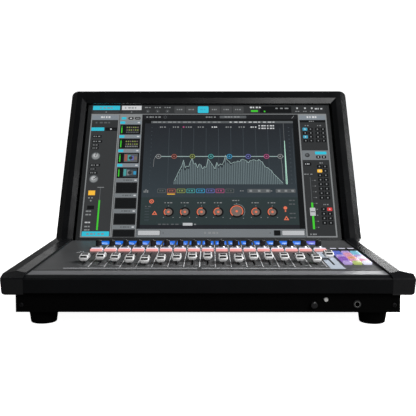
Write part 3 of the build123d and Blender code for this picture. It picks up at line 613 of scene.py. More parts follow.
def silkscreen():
    """Printed lines and marks on the deck, the hand rest's raised strip, whose pale tone is partly painted
    sheen, and the plate round the master fader.
    """
    xs = strip_positions()
    pitch = xs[1] - xs[0]
    ink = Piece(DECK, "ink", "ink_dim")
    low, high = 0.0, 0.07
    divider_start, divider_end = 75.6, 286.0
    band_start, band_end = 63.8, 67.8
    centre = len(CHANNELS) // 2
    for n in range(1, len(xs)):
        x = xs[0] + (n - 0.5) * pitch
        wide = 1.4 if n == centre else 0.8
        ink.slab(x - wide / 2, divider_start, x + wide / 2, divider_end, low, high, 0)
    split, gap = xs[0] + (centre - 0.5) * pitch, 3
    for start, end in ((xs[0] - 22, split - gap), (split + gap, xs[-1] + 12)):
        ink.slab(start, band_start, end, band_end, low, high, 1)
    scale_foot, scale_step, thin = 97.0, 10.0, 0.15
    for x in xs[:-1]:
        for step in range(11):
            wide = 3.4 if step % 5 == 0 else 2.0
            y = scale_foot + scale_step * step
            ink.slab(x - 4.2 - wide, y - thin, x - 4.2, y + thin, low, high, 1)
        ink.slab(x + 4.4, 88.0, x + 9.2, 89.6, low, high, 1)
    ink.ring(xs[0] - 22.4, 216, 3.2, 2.6, low, high, 0)
    ink.strip([(xs[0] - 29.5, 205), (xs[0] - 26.6, 208.4), (xs[0] - 23.7, 205)], 0.7, low, high, 0)
    ink.done("deck_print", "console")
    sheen_strip = Piece(DECK, "sheen_strip", "hole")
    edge = local_box("deck_panel", DECK)[1].x - 1.2
    # raised strip along the front of the deck; its pale tone is partly painted sheen
    sheen_strip.prism(round_rectangle(0, 31.5, 2 * edge, 28.0, 2.0), 0.0, 0.5, 0, bevel=0.3)
    # a thin near-black line across the deck just behind the strip
    sheen_strip.slab(-edge, 48.5, edge, 52.0, 0.0, 0.06, 1)
    sheen_strip.done("hand_rest_strip_painted_sheen", "console")
    plate = Piece(DECK, "panel")
    plate.prism(round_rectangle(xs[-1] + 0.4, 136.6, 20.6, 151.8, 1.5), 0.0, 0.12)
    plate.done("master_plate", "console")
    # the master fader's slot as a flat near-black shape on the plate: painted shade standing in for the depth
    # of the slot
    slot = Piece(DECK, "hole")
    slot.prism(round_rectangle(xs[-1], 147.0, 3.0, 109.0, 1.49), 0.0, 0.16)
    slot.done("master_slot", "console")


# ---------------------------------------------------------------- screen
UI_COLOURS = {
    "base": (34, 35, 37),
    "bar": (50, 51, 52),
    "bar_button": (66, 67, 68),
    "cyan": (52, 180, 202),
    "cyan_soft": (60, 150, 178),
    "white": (196, 197, 199),
    "edge": (128, 130, 131),
    "header": (122, 129, 136),
    "panel": (55, 56, 57),
    "dark": (24, 25, 26),
    "mid": (84, 87, 89),
    "graph": (46, 51, 56),
    "graph_high": (37, 38, 42),
    "graph_low": (54, 62, 67),
    "graph_foot": (47, 56, 57),
    "grid": (66, 73, 78),
    "spectrum": (98, 111, 114),
    "line": (150, 170, 168),
    "mint": (176, 218, 200),
    "green": (66, 190, 52),
    "amber": (238, 180, 62),
    "red": (205, 62, 62),
    "orange": (218, 112, 84),
    "knob": (112, 98, 92),
    "silver": (172, 173, 174),
    "olive": (128, 138, 76),
    "teal": (72, 146, 146),
    "blue": (56, 138, 176),
    "purple": (96, 98, 158),
    "rose": (160, 76, 116),
    "brown": (146, 84, 74),
    "footer": (112, 116, 119),
    "pale": (178, 179, 181),
}
# Places in the picture are millimetres from the middle of the glass's lower edge; its layers lie behind
# the front of the glass.
LAYER_BASE = -4.5
LAYER_STEP = 0.16
LAYER_T = 0.10
LEFT_EDGE, RIGHT_EDGE = -238.0, 238.0
SCREEN_LOW, SCREEN_HIGH = 7.6, 306.8


class Display:
    """The picture on the screen: flat lit shapes in a few layers, one object for each colour."""

    def __init__(self):
        self.colours = {}

    def sheet(self, colour, layer):
        if colour not in self.colours:
            light = lit(f"ui_{colour}", shade(*UI_COLOURS[colour]), 1.0, fade=0.05, fade_mm=60)
            light.node_tree.nodes["Principled BSDF"].inputs["Specular IOR Level"].default_value = 0.0
            self.colours[colour] = Piece(GLASS, light)
        low = LAYER_BASE + layer * LAYER_STEP
        return self.colours[colour], low, low + LAYER_T

    def box(self, colour, x0, y0, x1, y1, layer):
        piece, low, high = self.sheet(colour, layer)
        piece.slab(x0, y0, x1, y1, low, high)

    def frame(self, colour, x0, y0, x1, y1, width, layer):
        for box in ((x0, y0, x1, y0 + width), (x0, y1 - width, x1, y1),
                    (x0, y0 + width, x0 + width, y1 - width), (x1 - width, y0 + width, x1, y1 - width)):
            self.box(colour, *box, layer)

    def rounded(self, colour, x0, y0, x1, y1, radius, layer):
        piece, low, high = self.sheet(colour, layer)
        piece.prism(round_rectangle((x0 + x1) / 2, (y0 + y1) / 2, x1 - x0, y1 - y0, radius), low, high)

    def disc(self, colour, x, y, radius, layer):
        piece, low, high = self.sheet(colour, layer)
        piece.prism(circle(x, y, radius), low, high)

    def arc(self, colour, x, y, outer, inner, layer, start=0.0, sweep=2 * pi):
        piece, low, high = self.sheet(colour, layer)
        piece.ring(x, y, outer, inner, low, high, start=start, sweep=sweep)

    def line(self, colour, points, width, layer):
        piece, low, high = self.sheet(colour, layer)
        piece.strip(points, width, low, high)

    def words(self, colour, x, y, width, height, layer, parts=3):
        """A short row of blocks where the real display has small writing."""
        step = width / parts
        for n in range(parts):
            share = 0.62 + 0.2 * sin(2.1 * n + x)
            self.box(colour, x + n * step, y, x + n * step + step * share, y + height, layer)

    def done(self):
        for colour, piece in self.colours.items():
            piece.done(f"display_{colour}", "console")


def top_bar(ui):
    """Bar along the top: two boxes at the left, small buttons, one of them lit."""
    low, high = 284.7, SCREEN_HIGH
    ui.box("bar", LEFT_EDGE, low, RIGHT_EDGE, high, 1)
    ui.box("cyan", -236.0, 295.0, -181.0, 305.6, 2)
    ui.words("header", -222, 298.6, 30, 3.2, 3, 4)
    ui.box("white", -177.0, 295.0, -137.0, 305.6, 2)
    ui.words("edge", -171, 298.6, 27, 3.2, 3, 4)
    for start, width in ((-236, 55), (-177, 40)):
        ui.box("mid", start + 2, 289.4, start + width - 2, 290.2, 2)
        ui.disc("edge", start + width / 2, 289.8, 1.4, 3)
    for x in (-130, -110, -90):
        ui.words("edge", x, 300, 13, 2.6, 2, 3)
        ui.arc("mid", x + 6, 292, 3.6, 2.8, 2)
        ui.disc("edge", x + 6, 292, 1.3, 2)
    for n in range(6):
        x = -70 + n * 23.8
        colour = "cyan" if n == 2 else "bar_button"
        ui.rounded(colour, x, 287.6, x + 22, 304.2, 2.0, 2)
        ui.words("cyan_soft" if n == 2 else "edge", x + 5, 294.6, 12, 2.8, 3, 3)
    ui.words("white", 84, 299.6, 24, 3.6, 2, 4)
    ui.box("green", 86, 290.2, 100, 294.6, 2)
    ui.box("dark", 104, 288.0, 168, 304.0, 2)
    ui.box("green", 112, 289.6, 115, 293.0, 3)
    ui.words("edge", 136, 297.4, 28, 3.0, 3, 3)
    for x in (180, 196, 210):
        ui.disc("pale", x, 299.4, 2.0, 2)
        ui.words("edge", x - 4, 290.4, 9, 2.2, 2, 2)
    ui.words("pale", 216, 296.4, 17, 3.4, 2, 3)
    ui.box("edge", LEFT_EDGE, low - 0.8, RIGHT_EDGE, low + 0.6, 2)


def left_panel(ui):
    """The selected channel's panel: header, two knobs, one amber button, a level meter."""
    x0, x1 = -237.6, -180.6
    ui.box("panel", x0, SCREEN_LOW, x1, 284, 1)
    ui.frame("edge", x0, SCREEN_LOW, x1, 284, 2.0, 3)
    ui.box("header", x0 + 2, 270.5, x1 - 2, 283, 2)
    ui.words("white", -218, 275, 20, 4.4, 3, 4)
    ui.box("bar", x0 + 2, 252.5, x1 - 2, 269.4, 2)
    ui.words("mid", -228, 262.0, 34, 3.6, 3, 4)
    ui.box("cyan", -235.4, 244.0, -209.6, 252.0, 3)
    ui.box("dark", -207.6, 244.0, -183.0, 252.0, 3)
    ui.disc("pale", -196, 248, 1.8, 4)
    for y, wide in ((230.5, 18), (218.6, 20), (210.2, 14), (203.0, 14), (163.4, 20), (154.6, 12),
                    (146.0, 16)):
        ui.box("dark", -231.5, y - 2.8, -231.5 + wide, y + 2.8, 3)
        ui.words("edge", -229.5, y - 1.1, wide - 4, 2.2, 4, 3)
    for y, turn in ((184.3, 1.5), (132.2, 0.7)):
        ui.disc("edge", -221.6, y, 8.4, 3)
        ui.disc("silver", -222.4, y + 1.4, 4.4, 4)
        ui.arc("mid", -221.6, y, 8.8, 7.4, 4)
        ui.line("panel", [(-221.6, y), (-221.6 + 7 * cos(turn), y + 7 * sin(turn))], 1.6, 5)
    ui.box("amber", -229.4, 96.6, -216.6, 106.6, 3)
    ui.words("edge", -229, 89.5, 12, 2.6, 3, 2)
    ui.disc("edge", -223.5, 84.5, 1.6, 3)
    ui.box("edge", -213, 113.0, -200.5, 114.4, 3)
    ui.box("mid", -207.8, 84, -206.4, 113.0, 3)
    ui.box("green", -208.6, 22.5, -205.6, 86.0, 3)
    for y in (60.6, 53.4, 37.0, 28.4, 21.5):
        ui.words("edge" if y != 37 else "pale", -231, y, 13, 2.8, 3, 2)
    ui.box("dark", -229, 66, -216, 74, 3)
    ui.rounded("cyan", -234.6, 9.6, -184.0, 19.6, 1.0, 4)
    ui.words("header", -226, 13, 34, 3, 5, 5)


def rack_column(ui):
    """Column of eight slots: four with a small picture and a meter, four empty."""
    x0, x1 = -179.8, -134.6
    ui.box("edge", x0, SCREEN_LOW, x1, 284, 1)
    ui.box("cyan", -176, 271.6, -166.6, 277.4, 2)
    ui.rounded("dark", -162.4, 271.4, -152.0, 277.6, 2.0, 2)
    ui.rounded("dark", -149.0, 271.4, -138.0, 277.6, 2.0, 2)
    ui.box("white", -159.4, 273.4, -155.0, 275.6, 3)
    ui.box("edge", -147.0, 273.4, -140.0, 275.6, 3)
    pitch = 33.6
    top = 268.2
    for n in range(8):
        head = top - n * pitch
        foot = max(SCREEN_LOW, head - pitch)
        ui.box("header" if n < 4 else "footer", x0 + 0.8, head - 8.4, x1 - 0.8, head, 2)
        ui.words("edge" if n < 4 else "mid", -164, head - 5.4, 18, 2.6, 3, 4)
        ui.box("white", -143, head - 5.4, -138.6, head - 3.0, 3)
        if n < 4:
            ui.box("cyan", -178.2, head - 7.2, -168.2, head - 1.4, 3)
        ui.box("dark", x0 + 1.8, foot + 0.4, x1 - 1.8, head - 8.8, 2)
        if n < 4:
            ui.box("green", -175.2, head - 29.6, -173.0, head - 17.0 + 2 * (n % 2), 3)
            ui.box("green", -174.6, head - 29.6, -173.6, head - 12.0, 3)
            picture(ui, n, -166.0, head - 30.4, -139.4, head - 11.6)
        else:
            ui.frame("panel", x0 + 2.6, foot + 1.2, x1 - 2.6, head - 9.8, 0.6, 3)


def picture(ui, number, x0, y0, x1, y1):
    """The small picture of a processor in a slot, as blocks and rings."""
    width, height = x1 - x0, y1 - y0
    backs = ("base", "base", "mid", "graph_low")
    ui.box(backs[number], x0, y0, x1, y1, 3)
    if number < 2:
        for row in range(2):
            for n in range(6):
                x = x0 + width * (0.1 + 0.16 * n)
                y = y0 + height * (0.42 + 0.34 * row)
                ui.disc("olive" if (n + row) % 3 else "knob", x, y, 1.5, 4)
        for n in range(8):
            x = x0 + width * (0.04 + 0.12 * n)
            ui.box("edge" if number else "mid", x, y0 + 1.0, x + 1.9, y0 + height * 0.22, 4)
        return
    tints = ("brown", "teal", "purple", "knob") if number == 2 else ("teal", "footer", "mid", "blue")
    for n, tint in enumerate(tints):
        x = x0 + width * (0.04 + 0.24 * n)
        ui.box(tint, x, y0 + height * (0.12 + 0.05 * n), x + width * 0.2, y0 + height * (0.92 - 0.08 * n), 4)
    ui.disc("bar", x0 + width * 0.5, y0 + height * 0.5, height * 0.2, 5)


def spectrum_height(share):
    """Height of the spectrum, from 0 to 1, at a share of its width."""
    rise = min(1.0, share / 0.09)
    fall = 1.0 if share < 0.8 else max(0.0, 1 - ((share - 0.8) / 0.2) ** 1.2)
    ripple = 0.10 * sin(43 * share) + 0.09 * sin(79 * share + 1.1) + 0.08 * sin(163 * share)
    calm = 1.0 if share < 0.5 else 0.35
    hump = 0.16 * sin(pi * min(1.0, max(0.0, (share - 0.45) / 0.5)))
    return max(0.02, (0.66 + ripple * calm + hump) * rise * fall)


def centre_window(ui):
    """The equaliser window: graph with eight bands, a row of buttons, seven knobs, a footer."""
    x0, x1, y0, y1 = -133.0, 179.4, 25.4, 284.0
    ui.box("dark", x0, y0, x1, y1, 1)
    ui.box("base", x0 + 1, 272, x1 - 1, 283, 2)
    ui.words("edge", -126, 276.0, 30, 2.8, 3, 5)
    ui.arc("mid", -88, 277.4, 3.2, 2.4, 3)
    ui.rounded("mid", 22, 274.6, 76, 280.6, 1.4, 3)
    ui.words("edge", -6, 276.0, 22, 2.6, 3, 4)
    ui.words("edge", 32, 276.2, 32, 2.6, 4, 5)
    ui.line("edge", [(168, 274.6), (172, 279.6)], 1.0, 3)
    left, right = x0 + 5, x1 - 10
    ui.box("mid", left + 12, 262.4, right, 267.6, 2)
    ui.words("edge", left + 16, 263.6, 140, 2.6, 3, 14)
    ui.words("pale", left + 170, 263.6, 96, 2.6, 3, 10)
    ui.box("graph", left, 92, right, 262, 2)
    low_z, high_z = [(GLASS @ Vector((0, y, 0))).z for y in (92, 262)]
    graph_light = ui.sheet("graph", 2)[0].finishes[0]
    fading(graph_light, shade(*UI_COLOURS["graph_low"]), shade(*UI_COLOURS["graph_high"]), low_z, high_z)
    ui.box("graph_foot", left, y0 + 8, right, 92, 2)
    ui.box("graph_high", left, y0 + 1, right, y0 + 8, 2)
    for n in range(11):
        x = -79 + n * 24.6
        ui.box("grid", x - 0.35, 122, x + 0.35, 250, 3)
    for n in range(15):
        ui.words("grid", -114.5, 122 + n * 9.2, 3.4, 1.5, 3, 1)
        ui.words("grid", 158.5, 122 + n * 9.2, 3.4, 1.5, 3, 1)
    for n, x in enumerate((-98, -72, -46, -22, 6, 34, 60, 84)):
        ui.words("white" if n in (4, 7) else "edge", x, 251.4, 13, 2.8, 4, 3)
    ui.disc("rose", -50.4, 252.8, 1.9, 5)
    for y in (254.6, 248.4):
        ui.words("white", 100, y, 34, 2.8, 4, 6)
    graph(ui)
    band_buttons(ui)
    band_knobs(ui)
    ui.rounded("pale", -48, 31.8, -30, 37.4, 0.8, 4)
    ui.words("mid", -94, 33.2, 40, 2.4, 4, 5)
    ui.words("edge", -27, 33.2, 8, 2.4, 4, 1)
    footer_bar(ui)


def graph(ui):
    """Spectrum bars with their outline, the flat line with its eight band handles, and a level spike."""
    base, reach = 120.4, 64.0
    start, end = -68.0, 144.0
    bars = 62
    outline = []
    for n in range(bars):
        share = (n + 0.5) / bars
        x = start + (end - start) * share
        height = reach * spectrum_height(share)
        ui.box("spectrum", x - 1.05, base, x + 1.05, base + height, 4)
        outline.append((x, base + height + 1.2 + 5 * max(0.0, sin(17 * share)) * (share < 0.6)))
    ui.line("line", outline, 0.9, 5)
    flat = 183.2
    ui.line("line", [(-104, flat), (146, flat)], 1.5, 5)
    ui.line("edge", [(-104, flat), (-107, 176), (-107.6, 160)], 0.6, 4)
    ui.line("edge", [(141, flat), (143, 166), (143.6, 130)], 0.6, 4)
    handles = (("edge", -98.4), ("brown", -67.7), ("olive", -31.9), ("teal", 4.3), ("blue", 40.7),
               ("purple", 77.5), ("rose", 113.3), ("edge", 140.3))
    for colour, x in handles:
        ui.disc("graph_high", x, flat, 5.2, 6)
        ui.arc(colour, x, flat, 5.4, 4.0, 7)
        ui.disc(colour, x, flat, 1.9, 7)
    ui.line("mint", [(149.0, 121), (150.2, 219.4), (151.2, 121)], 1.1, 5)
    ui.box("mid", 149.2, 219, 150.4, 262, 4)


def band_buttons(ui):
    """Row of outlined buttons under the graph, one for each band, and a few plain ones."""
    colours = ("mid", "brown", "olive", "teal", "blue", "purple", "rose", "mid")
    for n, colour in enumerate(colours):
        x = -98.0 + n * 18.6
        ui.rounded(colour, x, 101.4, x + 16.4, 110.6, 1.6, 3)
        ui.rounded("graph_foot", x + 1.2, 102.6, x + 15.2, 109.4, 1.0, 4)
        ui.words(colour, x + 4, 104.6, 9, 2.8, 5, 2)
    ui.box("amber", -79, 98.0, -64, 99.8, 3)
    for n, height in enumerate((4.6, 7.6, 5.6)):
        ui.box("edge", -124 + n * 3.4, 102, -122.2 + n * 3.4, 102 + height, 3)
    for start, width in ((74, 44), (128, 38)):
        ui.words("edge", start - 14, 105, 9, 1.8, 3, 2)
        ui.rounded("mid", start, 101.8, start + width, 110.2, 1.6, 3)
        for n in range(3):
            x = start + 4 + n * (width - 12) / 2
            ui.box("edge", x, 103.8, x + 5, 108.2, 4)


def band_knobs(ui):
    """Seven knobs with orange arcs, and small orange marks beside them."""
    knobs = ((-75.4, 8.6, 0.35), (-44.6, 8.6, 0.30), (-13.3, 8.6, 0.55), (18.2, 8.6, 0.55),
             (52.9, 12.0, 0.95), (89.2, 8.6, 0.55), (120.0, 8.6, 0.50))
    for x, radius, level in knobs:
        y = 60.5 if radius < 10 else 62.0
        turned = radians(280) * level
        ui.disc("dark", x, y, radius + 1.6, 3)
        ui.disc("knob", x, y, radius - 1.8, 4)
        ui.arc("orange", x, y, radius + 0.4, radius - 1.4, 5, start=radians(230) - turned, sweep=turned)
        ui.disc("orange", x, y, 2.4, 5)
        ui.words("edge", x - 8, y + radius + 10, 16, 1.9, 4, 3)
        for side in (-1, 1):
            ui.disc("edge", x + side * (radius + 0.4), y - radius - 3, 0.9, 4)
        ui.box("edge", x - 0.5, y + radius + 3.4, x + 0.5, y + radius + 5.4, 4)
    ui.arc("edge", 52.9, 62.0, 15.6, 14.8, 4, start=radians(-40), sweep=radians(150))
    ui.arc("orange", -108, 83, 4.4, 2.6, 4)
    ui.disc("orange", -108, 83, 1.3, 4)
    ui.line("orange", [(-105.0, 55.4), (-101.4, 61.4), (-97.8, 55.4), (-105.0, 55.4)], 1.6, 4)
    ui.disc("orange", 144.6, 69, 3.4, 4)
    ui.box("orange", 143.4, 60.8, 145.8, 64.4, 4)
    ui.line("orange", [(142.0, 44.2), (145.6, 50.6), (149.2, 44.2), (142.0, 44.2)], 1.6, 4)
    for y in (84, 76, 56, 47):
        ui.words("mid", 152, y, 14, 2.4, 4, 2)
    ui.words("mid", -120, 71, 12, 2.2, 4, 2)
    for n in range(5):
        ui.box("grid", -120, 43 + n * 6.0, -112, 44.2 + n * 6.0, 3)


def footer_bar(ui):
    """Grey bar below the window, with a light button at each end."""
    ui.box("footer", -133.6, SCREEN_LOW, 179.4, 25.0, 2)
    for start, end in ((-130.6, -90.4), (136.4, 177.2)):
        ui.rounded("mid", start - 1.2, 10.8, end + 1.2, 22.6, 1.8, 3)
        ui.rounded("pale", start, 12.0, end, 21.4, 1.2, 4)
    ui.rounded("dark", 121.0, 11.2, 133.2, 22.2, 1.2, 3)
    ui.words("edge", -8, 14.6, 30, 4.4, 3, 4)
    for x in (-84, 114):
        ui.disc("mid", x, 16.6, 1.2, 3)


def right_panel(ui):
    """The strip at the right: assign grids, a small knob, a fader with its meter, mute grid."""
    x0, x1 = 180.4, 238.0
    ui.box("bar", x0, SCREEN_LOW, x1, 284, 1)
    ui.frame("edge", x0, SCREEN_LOW, x1, 284, 2.6, 3)
    ui.box("header", x0 + 2, 270.5, x1 - 2, 283, 2)
    ui.words("white", 198, 275, 22, 4.4, 3, 4)
    ui.box("dark", x0 + 2, 264.6, x1 - 2, 269.4, 2)
    ui.words("edge", 202, 265.8, 12, 2.2, 3, 3)
    for column, chosen in ((188.0, ((1, 0), (3, 0))), (213.0, ())):
        ui.words("edge", column + 5, 255.4, 9, 2.2, 3, 2)
        grid(ui, column, 216.6, 4, (11.0, 9.2), "cyan_soft", chosen)
    ui.box("footer", x0 + 3, 175.4, x1 - 3, 197.4, 3)
    ui.disc("panel", 193.6, 186.4, 4.8, 4)
    ui.disc("mid", 193.0, 187.2, 2.6, 5)
    ui.rounded("cyan", 209.0, 188.0, 231.4, 194.6, 1.4, 4)
    for x in (210.6, 221.6):
        ui.rounded("dark", x, 178.8, x + 8.4, 185.2, 1.6, 4)
        ui.disc("pale", x + 4.2, 182.0, 1.4, 5)
    ui.rounded("dark", 186, 162.4, 200, 169.4, 1.4, 4)
    ui.words("pale", 188, 164.8, 10, 2.2, 5, 3)
    ui.words("edge", 216, 167.4, 9, 2.2, 3, 2)
    ui.words("edge", 184.6, 142, 18, 2.0, 3, 3)
    grid(ui, 210.6, 87.4, 8, (11.0, 9.9), "amber", ((6, 0),))
    ui.words("edge", 217, 75.2, 10, 2.4, 3, 3)
    grid(ui, 211.8, 34.0, 4, (11.4, 9.6), "red", ((3, 1),))
    ui.box("mid", 195.2, 76, 196.2, 136, 3)
    for n in range(9):
        ui.box("mid", 198.6, 28 + n * 12.6, 202.4, 28.8 + n * 12.6, 3)
        ui.words("edge", 203.2, 27.6 + n * 12.6, 3.0, 1.6, 3, 1)
    ui.box("green", 193.8, 24.6, 197.6, 80.4, 4)
    ui.rounded("pale", 190.6, 52.4, 200.8, 69.4, 1.0, 5)
    ui.box("mid", 191.6, 60.0, 199.8, 61.8, 6)
    ui.words("edge", 188, 12.4, 14, 3, 3, 3)


def grid(ui, left, foot, rows, pitch, colour, chosen):
    """Two columns of small squares, with the chosen (row, column) places lit."""
    for row in range(rows):
        for column in range(2):
            on = (row, column) in chosen
            x, y = left + column * pitch[0], foot + row * pitch[1]
            ui.rounded(colour if on else "dark", x, y, x + 9.4, y + 7.0, 1.4, 4)
            ui.box("white" if on else "edge", x + 3.6, y + 2.2, x + 5.8, y + 4.8, 5)


def screen():
    """Display module behind the glass, with its picture, and the black border of the glass."""
    low, high = local_box("lcd_panel", GLASS)
    module = Piece(GLASS, "tin", "green_board")
    outline = round_rectangle(0, (low.y + high.y) / 2, high.x - low.x, high.y - low.y, 2.0)
    module.prism(outline, low.z, LAYER_BASE - 0.12)
    for x in (-90, 90):
        module.slab(x - 50, 60, x + 50, 120, low.z - 1.4, low.z, 1)
    module.done("display_module", "console", replaces=["lcd_panel"], slot="screen_module")
    ui = Display()
    ui.box("base", LEFT_EDGE - 0.5, SCREEN_LOW - 0.3, RIGHT_EDGE + 0.5, SCREEN_HIGH + 0.3, 0)
    top_bar(ui)
    left_panel(ui)
    rack_column(ui)
    centre_window(ui)
    right_panel(ui)
    ui.done()
    border = Piece(GLASS, "bezel")
    half, top = high.x, high.y
    inner = RIGHT_EDGE + 0.6
    foot, head = SCREEN_LOW - 0.5, SCREEN_HIGH + 0.5
    for box in ((-half, low.y, half, foot), (-half, head, half, top), (-half, foot, -inner, head),
                (inner, foot, half, head)):
        border.slab(*box, -3.19, -3.04)
    border.prism(circle(243.3, 230.0, 2.6, 24), -3.1, -3.02)
    border.done("glass_border", "console")


# ---------------------------------------------------------------- front and rear of the chassis
def front_controls():
    """Volume knob, push button, and the nut of the headphone socket, with a near-black tube in its bore as
    painted shade.
    """
    x, z, back = centre_of("volume_knob", FRONT)[:3]
    knob_piece = Piece(FRONT, "knob", "ink")
    profile = [(4.4, 0.6), (4.9, 1.1), (4.9, 1.6), (4.85, 5.0), (4.8, 8.9), (4.4, 9.6), (3.6, 10.1),
               (3.0, 10.2)]
    knob_piece.turned(x, z, profile, count=72, flutes=18, depth=0.35, fluted=(1.5, 9.0))
    knob_piece.turned(x, z, [(2.0, back), (2.0, 0.7)], count=24)
    knob_piece.slab(x - 0.3, z + 1.0, x + 0.3, z + 3.6, 10.0, 10.2, 1)
    knob_piece.done("volume_knob_turned", "volume_knob", replaces=["volume_knob"], slot="knob_black")
    x, z, back = centre_of("front_button", FRONT)[:3]
    button = Piece(FRONT, "white_plastic")
    button.turned(x, z, [(2.8, back), (2.8, 1.9), (2.65, 2.2), (2.3, 2.4), (1.1, 2.3)], count=40)
    button.done("front_button_cap", "front_button", replaces=["front_button"], slot="button_white")
    x, z, _, face = centre_of("phones_jack", FRONT)
    bore = 3.2
    nut = Piece(FRONT, "nickel")
    nut.ring(x, z, 3.75, bore, face - 0.3, face + 0.05)
    nut.done("phones_ring", "console")
    # near-black tube lining the bore: painted shade of the socket's depth
    socket = Piece(FRONT, "hole")
    socket.ring(x, z, bore - 0.01, bore - 0.15, -20.0, 1.6)
    socket.done("phones_bore_painted_shade", "console")


def cross_screw(piece, x, y, base, radius, height, finish, recess):
    """Pan head with a cross recess, the recess as two near-black bars let into the top: painted shade
    standing in for its depth.
    """
    profile = [(radius, base), (radius, base + height * 0.35), (radius * 0.86, base + height * 0.75),
               (radius * 0.55, base + height * 0.97), (radius * 0.2, base + height)]
    piece.turned(x, y, profile, count=24, finish=finish)
    low, high = base + height * 0.7, base + height * 1.02
    # near-black bars: painted shade of the cross recess
    for half_x, half_y in ((radius * 0.6, radius * 0.13), (radius * 0.13, radius * 0.6)):
        piece.slab(x - half_x, y - half_y, x + half_x, y + half_y, low, high, recess)


def separate_parts(name):
    """Centre of each loose solid of a CAD node, in metres, found by joining its triangles."""
    mesh = bmesh.new()
    mesh.from_mesh(frame["nodes"][name].data)
    bmesh.ops.remove_doubles(mesh, verts=mesh.verts, dist=1e-6)
    seen = set()
    centres = []
    for start in mesh.verts:
        if start in seen:
            continue
        stack, members = [start], []
        seen.add(start)
        while stack:
            vertex = stack.pop()
            members.append(vertex.co.copy())
            for edge in vertex.link_edges:
                other = edge.other_vert(vertex)
                if other not in seen:
                    seen.add(other)
                    stack.append(other)
        low = Vector([min(point[i] for point in members) for i in range(3)])
        high = Vector([max(point[i] for point in members) for i in range(3)])
        centres.append((low + high) / 2)
    mesh.free()
    return centres


def all_screws():
    """A modelled screw head at every screw of the CAD node."""
    cover = place((0, 0, 0), (1, 0, 0), -(GLASS.to_3x3() @ Vector((0, 0, 1))))
    groups = {"front": (FRONT, []), "rear": (REAR, []), "cover": (cover, [])}
    rear_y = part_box("rear_panel")[0].y
    front_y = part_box("chassis_pan")[0].y + 0.002
    for centre in separate_parts("screws"):
        key = "front" if centre.y < front_y else ("rear" if centre.y > rear_y else "cover")
        groups[key][1].append(centre)
    for key, (matrix, centres) in groups.items():
        piece = Piece(matrix, "screw", "hole")
        inverse = matrix.inverted()
        for centre in centres:
            spot = inverse @ centre
            cross_screw(piece, spot.x, spot.y, spot.z - 0.8, 3.0, 1.6, 0, 1)
        replaced = ["screws"] if key == "rear" else []
        piece.done(f"screws_{key}", "console", replaces=replaced, slot="screw_steel")


FLANGE_T = 1.99
RECESS_R = 10.0
BODY_R = 11.8
MOUTH_HALF = (5.95, 4.2)    # half width and half height of a network socket's mouth
CORNER_SIDES = ((1, 1), (-1, 1), (-1, -1), (1, -1))


def rear_sockets():
    """Microphone sockets with a latch and three holes, and network sockets with contacts."""
    back = local_box("rear_sockets", REAR)[0].z
    centres = [REAR.inverted() @ centre for centre in separate_parts("rear_sockets")]
    upper = max(centre.y for centre in centres)
    piece = Piece(REAR, "socket", "hole", "nickel", "contact", "screw")
    for centre in centres:
        x, z = centre.x, centre.y
        if abs(z - upper) < 5:
            microphone_socket(piece, x, z, back)
        else:
            opening = [(x + sx * MOUTH_HALF[0], z + sy * MOUTH_HALF[1]) for sx, sy in CORNER_SIDES]
            flange_with_hole(piece, x, z, square_ring(opening))
            network_box(piece, x, z, back)
        for side in (-1, 1):
            cross_screw(piece, x + side * 9.8, z - side * 12.6, 2.0, 1.7, 0.9, 4, 1)
    piece.done("rear_socket_set", "console", replaces=["rear_sockets"], slot="socket_black")


def microphone_socket(piece, x, z, back):
    """Round socket in its flange: a bright ring, a core with three contacts, and the latch."""
    flange_with_hole(piece, x, z, circle(x, z, RECESS_R, 40, pi / 40))
    piece.turned(x, z, [(BODY_R, back), (BODY_R, -0.01)], count=40)
    piece.ring(x, z, RECESS_R - 0.02, RECESS_R - 0.7, 0.0, 1.7, 2, count=40)
    piece.turned(x, z, [(7.9, 0.0), (7.9, 1.2), (7.5, 1.5)], count=40)
    for angle in (90, 210, 330):
        hole_x = x + 3.9 * cos(radians(angle))
        hole_z = z - 3.9 * sin(radians(angle))
        piece.ring(hole_x, hole_z, 1.75, 1.3, 1.4, 1.58, 3, count=20)
        # near-black disc in each contact hole: painted shade standing in for its depth
        piece.prism(circle(hole_x, hole_z, 1.3, 20), 1.4, 1.53, 1)
    piece.prism(round_rectangle(x, z + 12.2, 7.0, 3.0, 0.8), 1.9, 2.9, 2, bevel=0.4)


def square_ring(corners, count=40):
    """Points spread round a rectangle from the middle of its right side, as many as a circle's."""
    (right, top), (left, bottom) = corners[0], corners[2]
    middle_x, middle_y = (left + right) / 2, (top + bottom) / 2
    half_x, half_y = (right - left) / 2, (top - bottom) / 2
    points = []
    for n in range(count):
        angle = 2 * pi * (n + 0.5) / count
        reach = min(half_x / max(1e-9, abs(cos(angle))), half_y / max(1e-9, abs(sin(angle))))
        points.append((middle_x + reach * cos(angle), middle_y + reach * sin(angle)))
    return points


def flange_with_hole(piece, x, y, hole):
    """Square flange of a socket with a bevelled rim and a shaped opening."""
    count = len(hole)
    outer = square_ring([(x + sx * 13, y + sy * 15.5) for sx, sy in CORNER_SIDES], count)
    inset = [(x + (px - x) * 0.965, y + (py - y) * 0.97) for px, py in outer]
    rows = ((outer, 0.0), (outer, FLANGE_T - 0.4), (inset, FLANGE_T), (hole, FLANGE_T), (hole, 0.0))
    rings = [[piece.vertex(px, py, level) for px, py in row] for row, level in rows]
    for low, high in zip(rings, rings[1:] + rings[:1]):
        for n in range(count):
            following = (n + 1) % count
            piece.mesh.faces.new((low[n], low[following], high[following], high[n]))


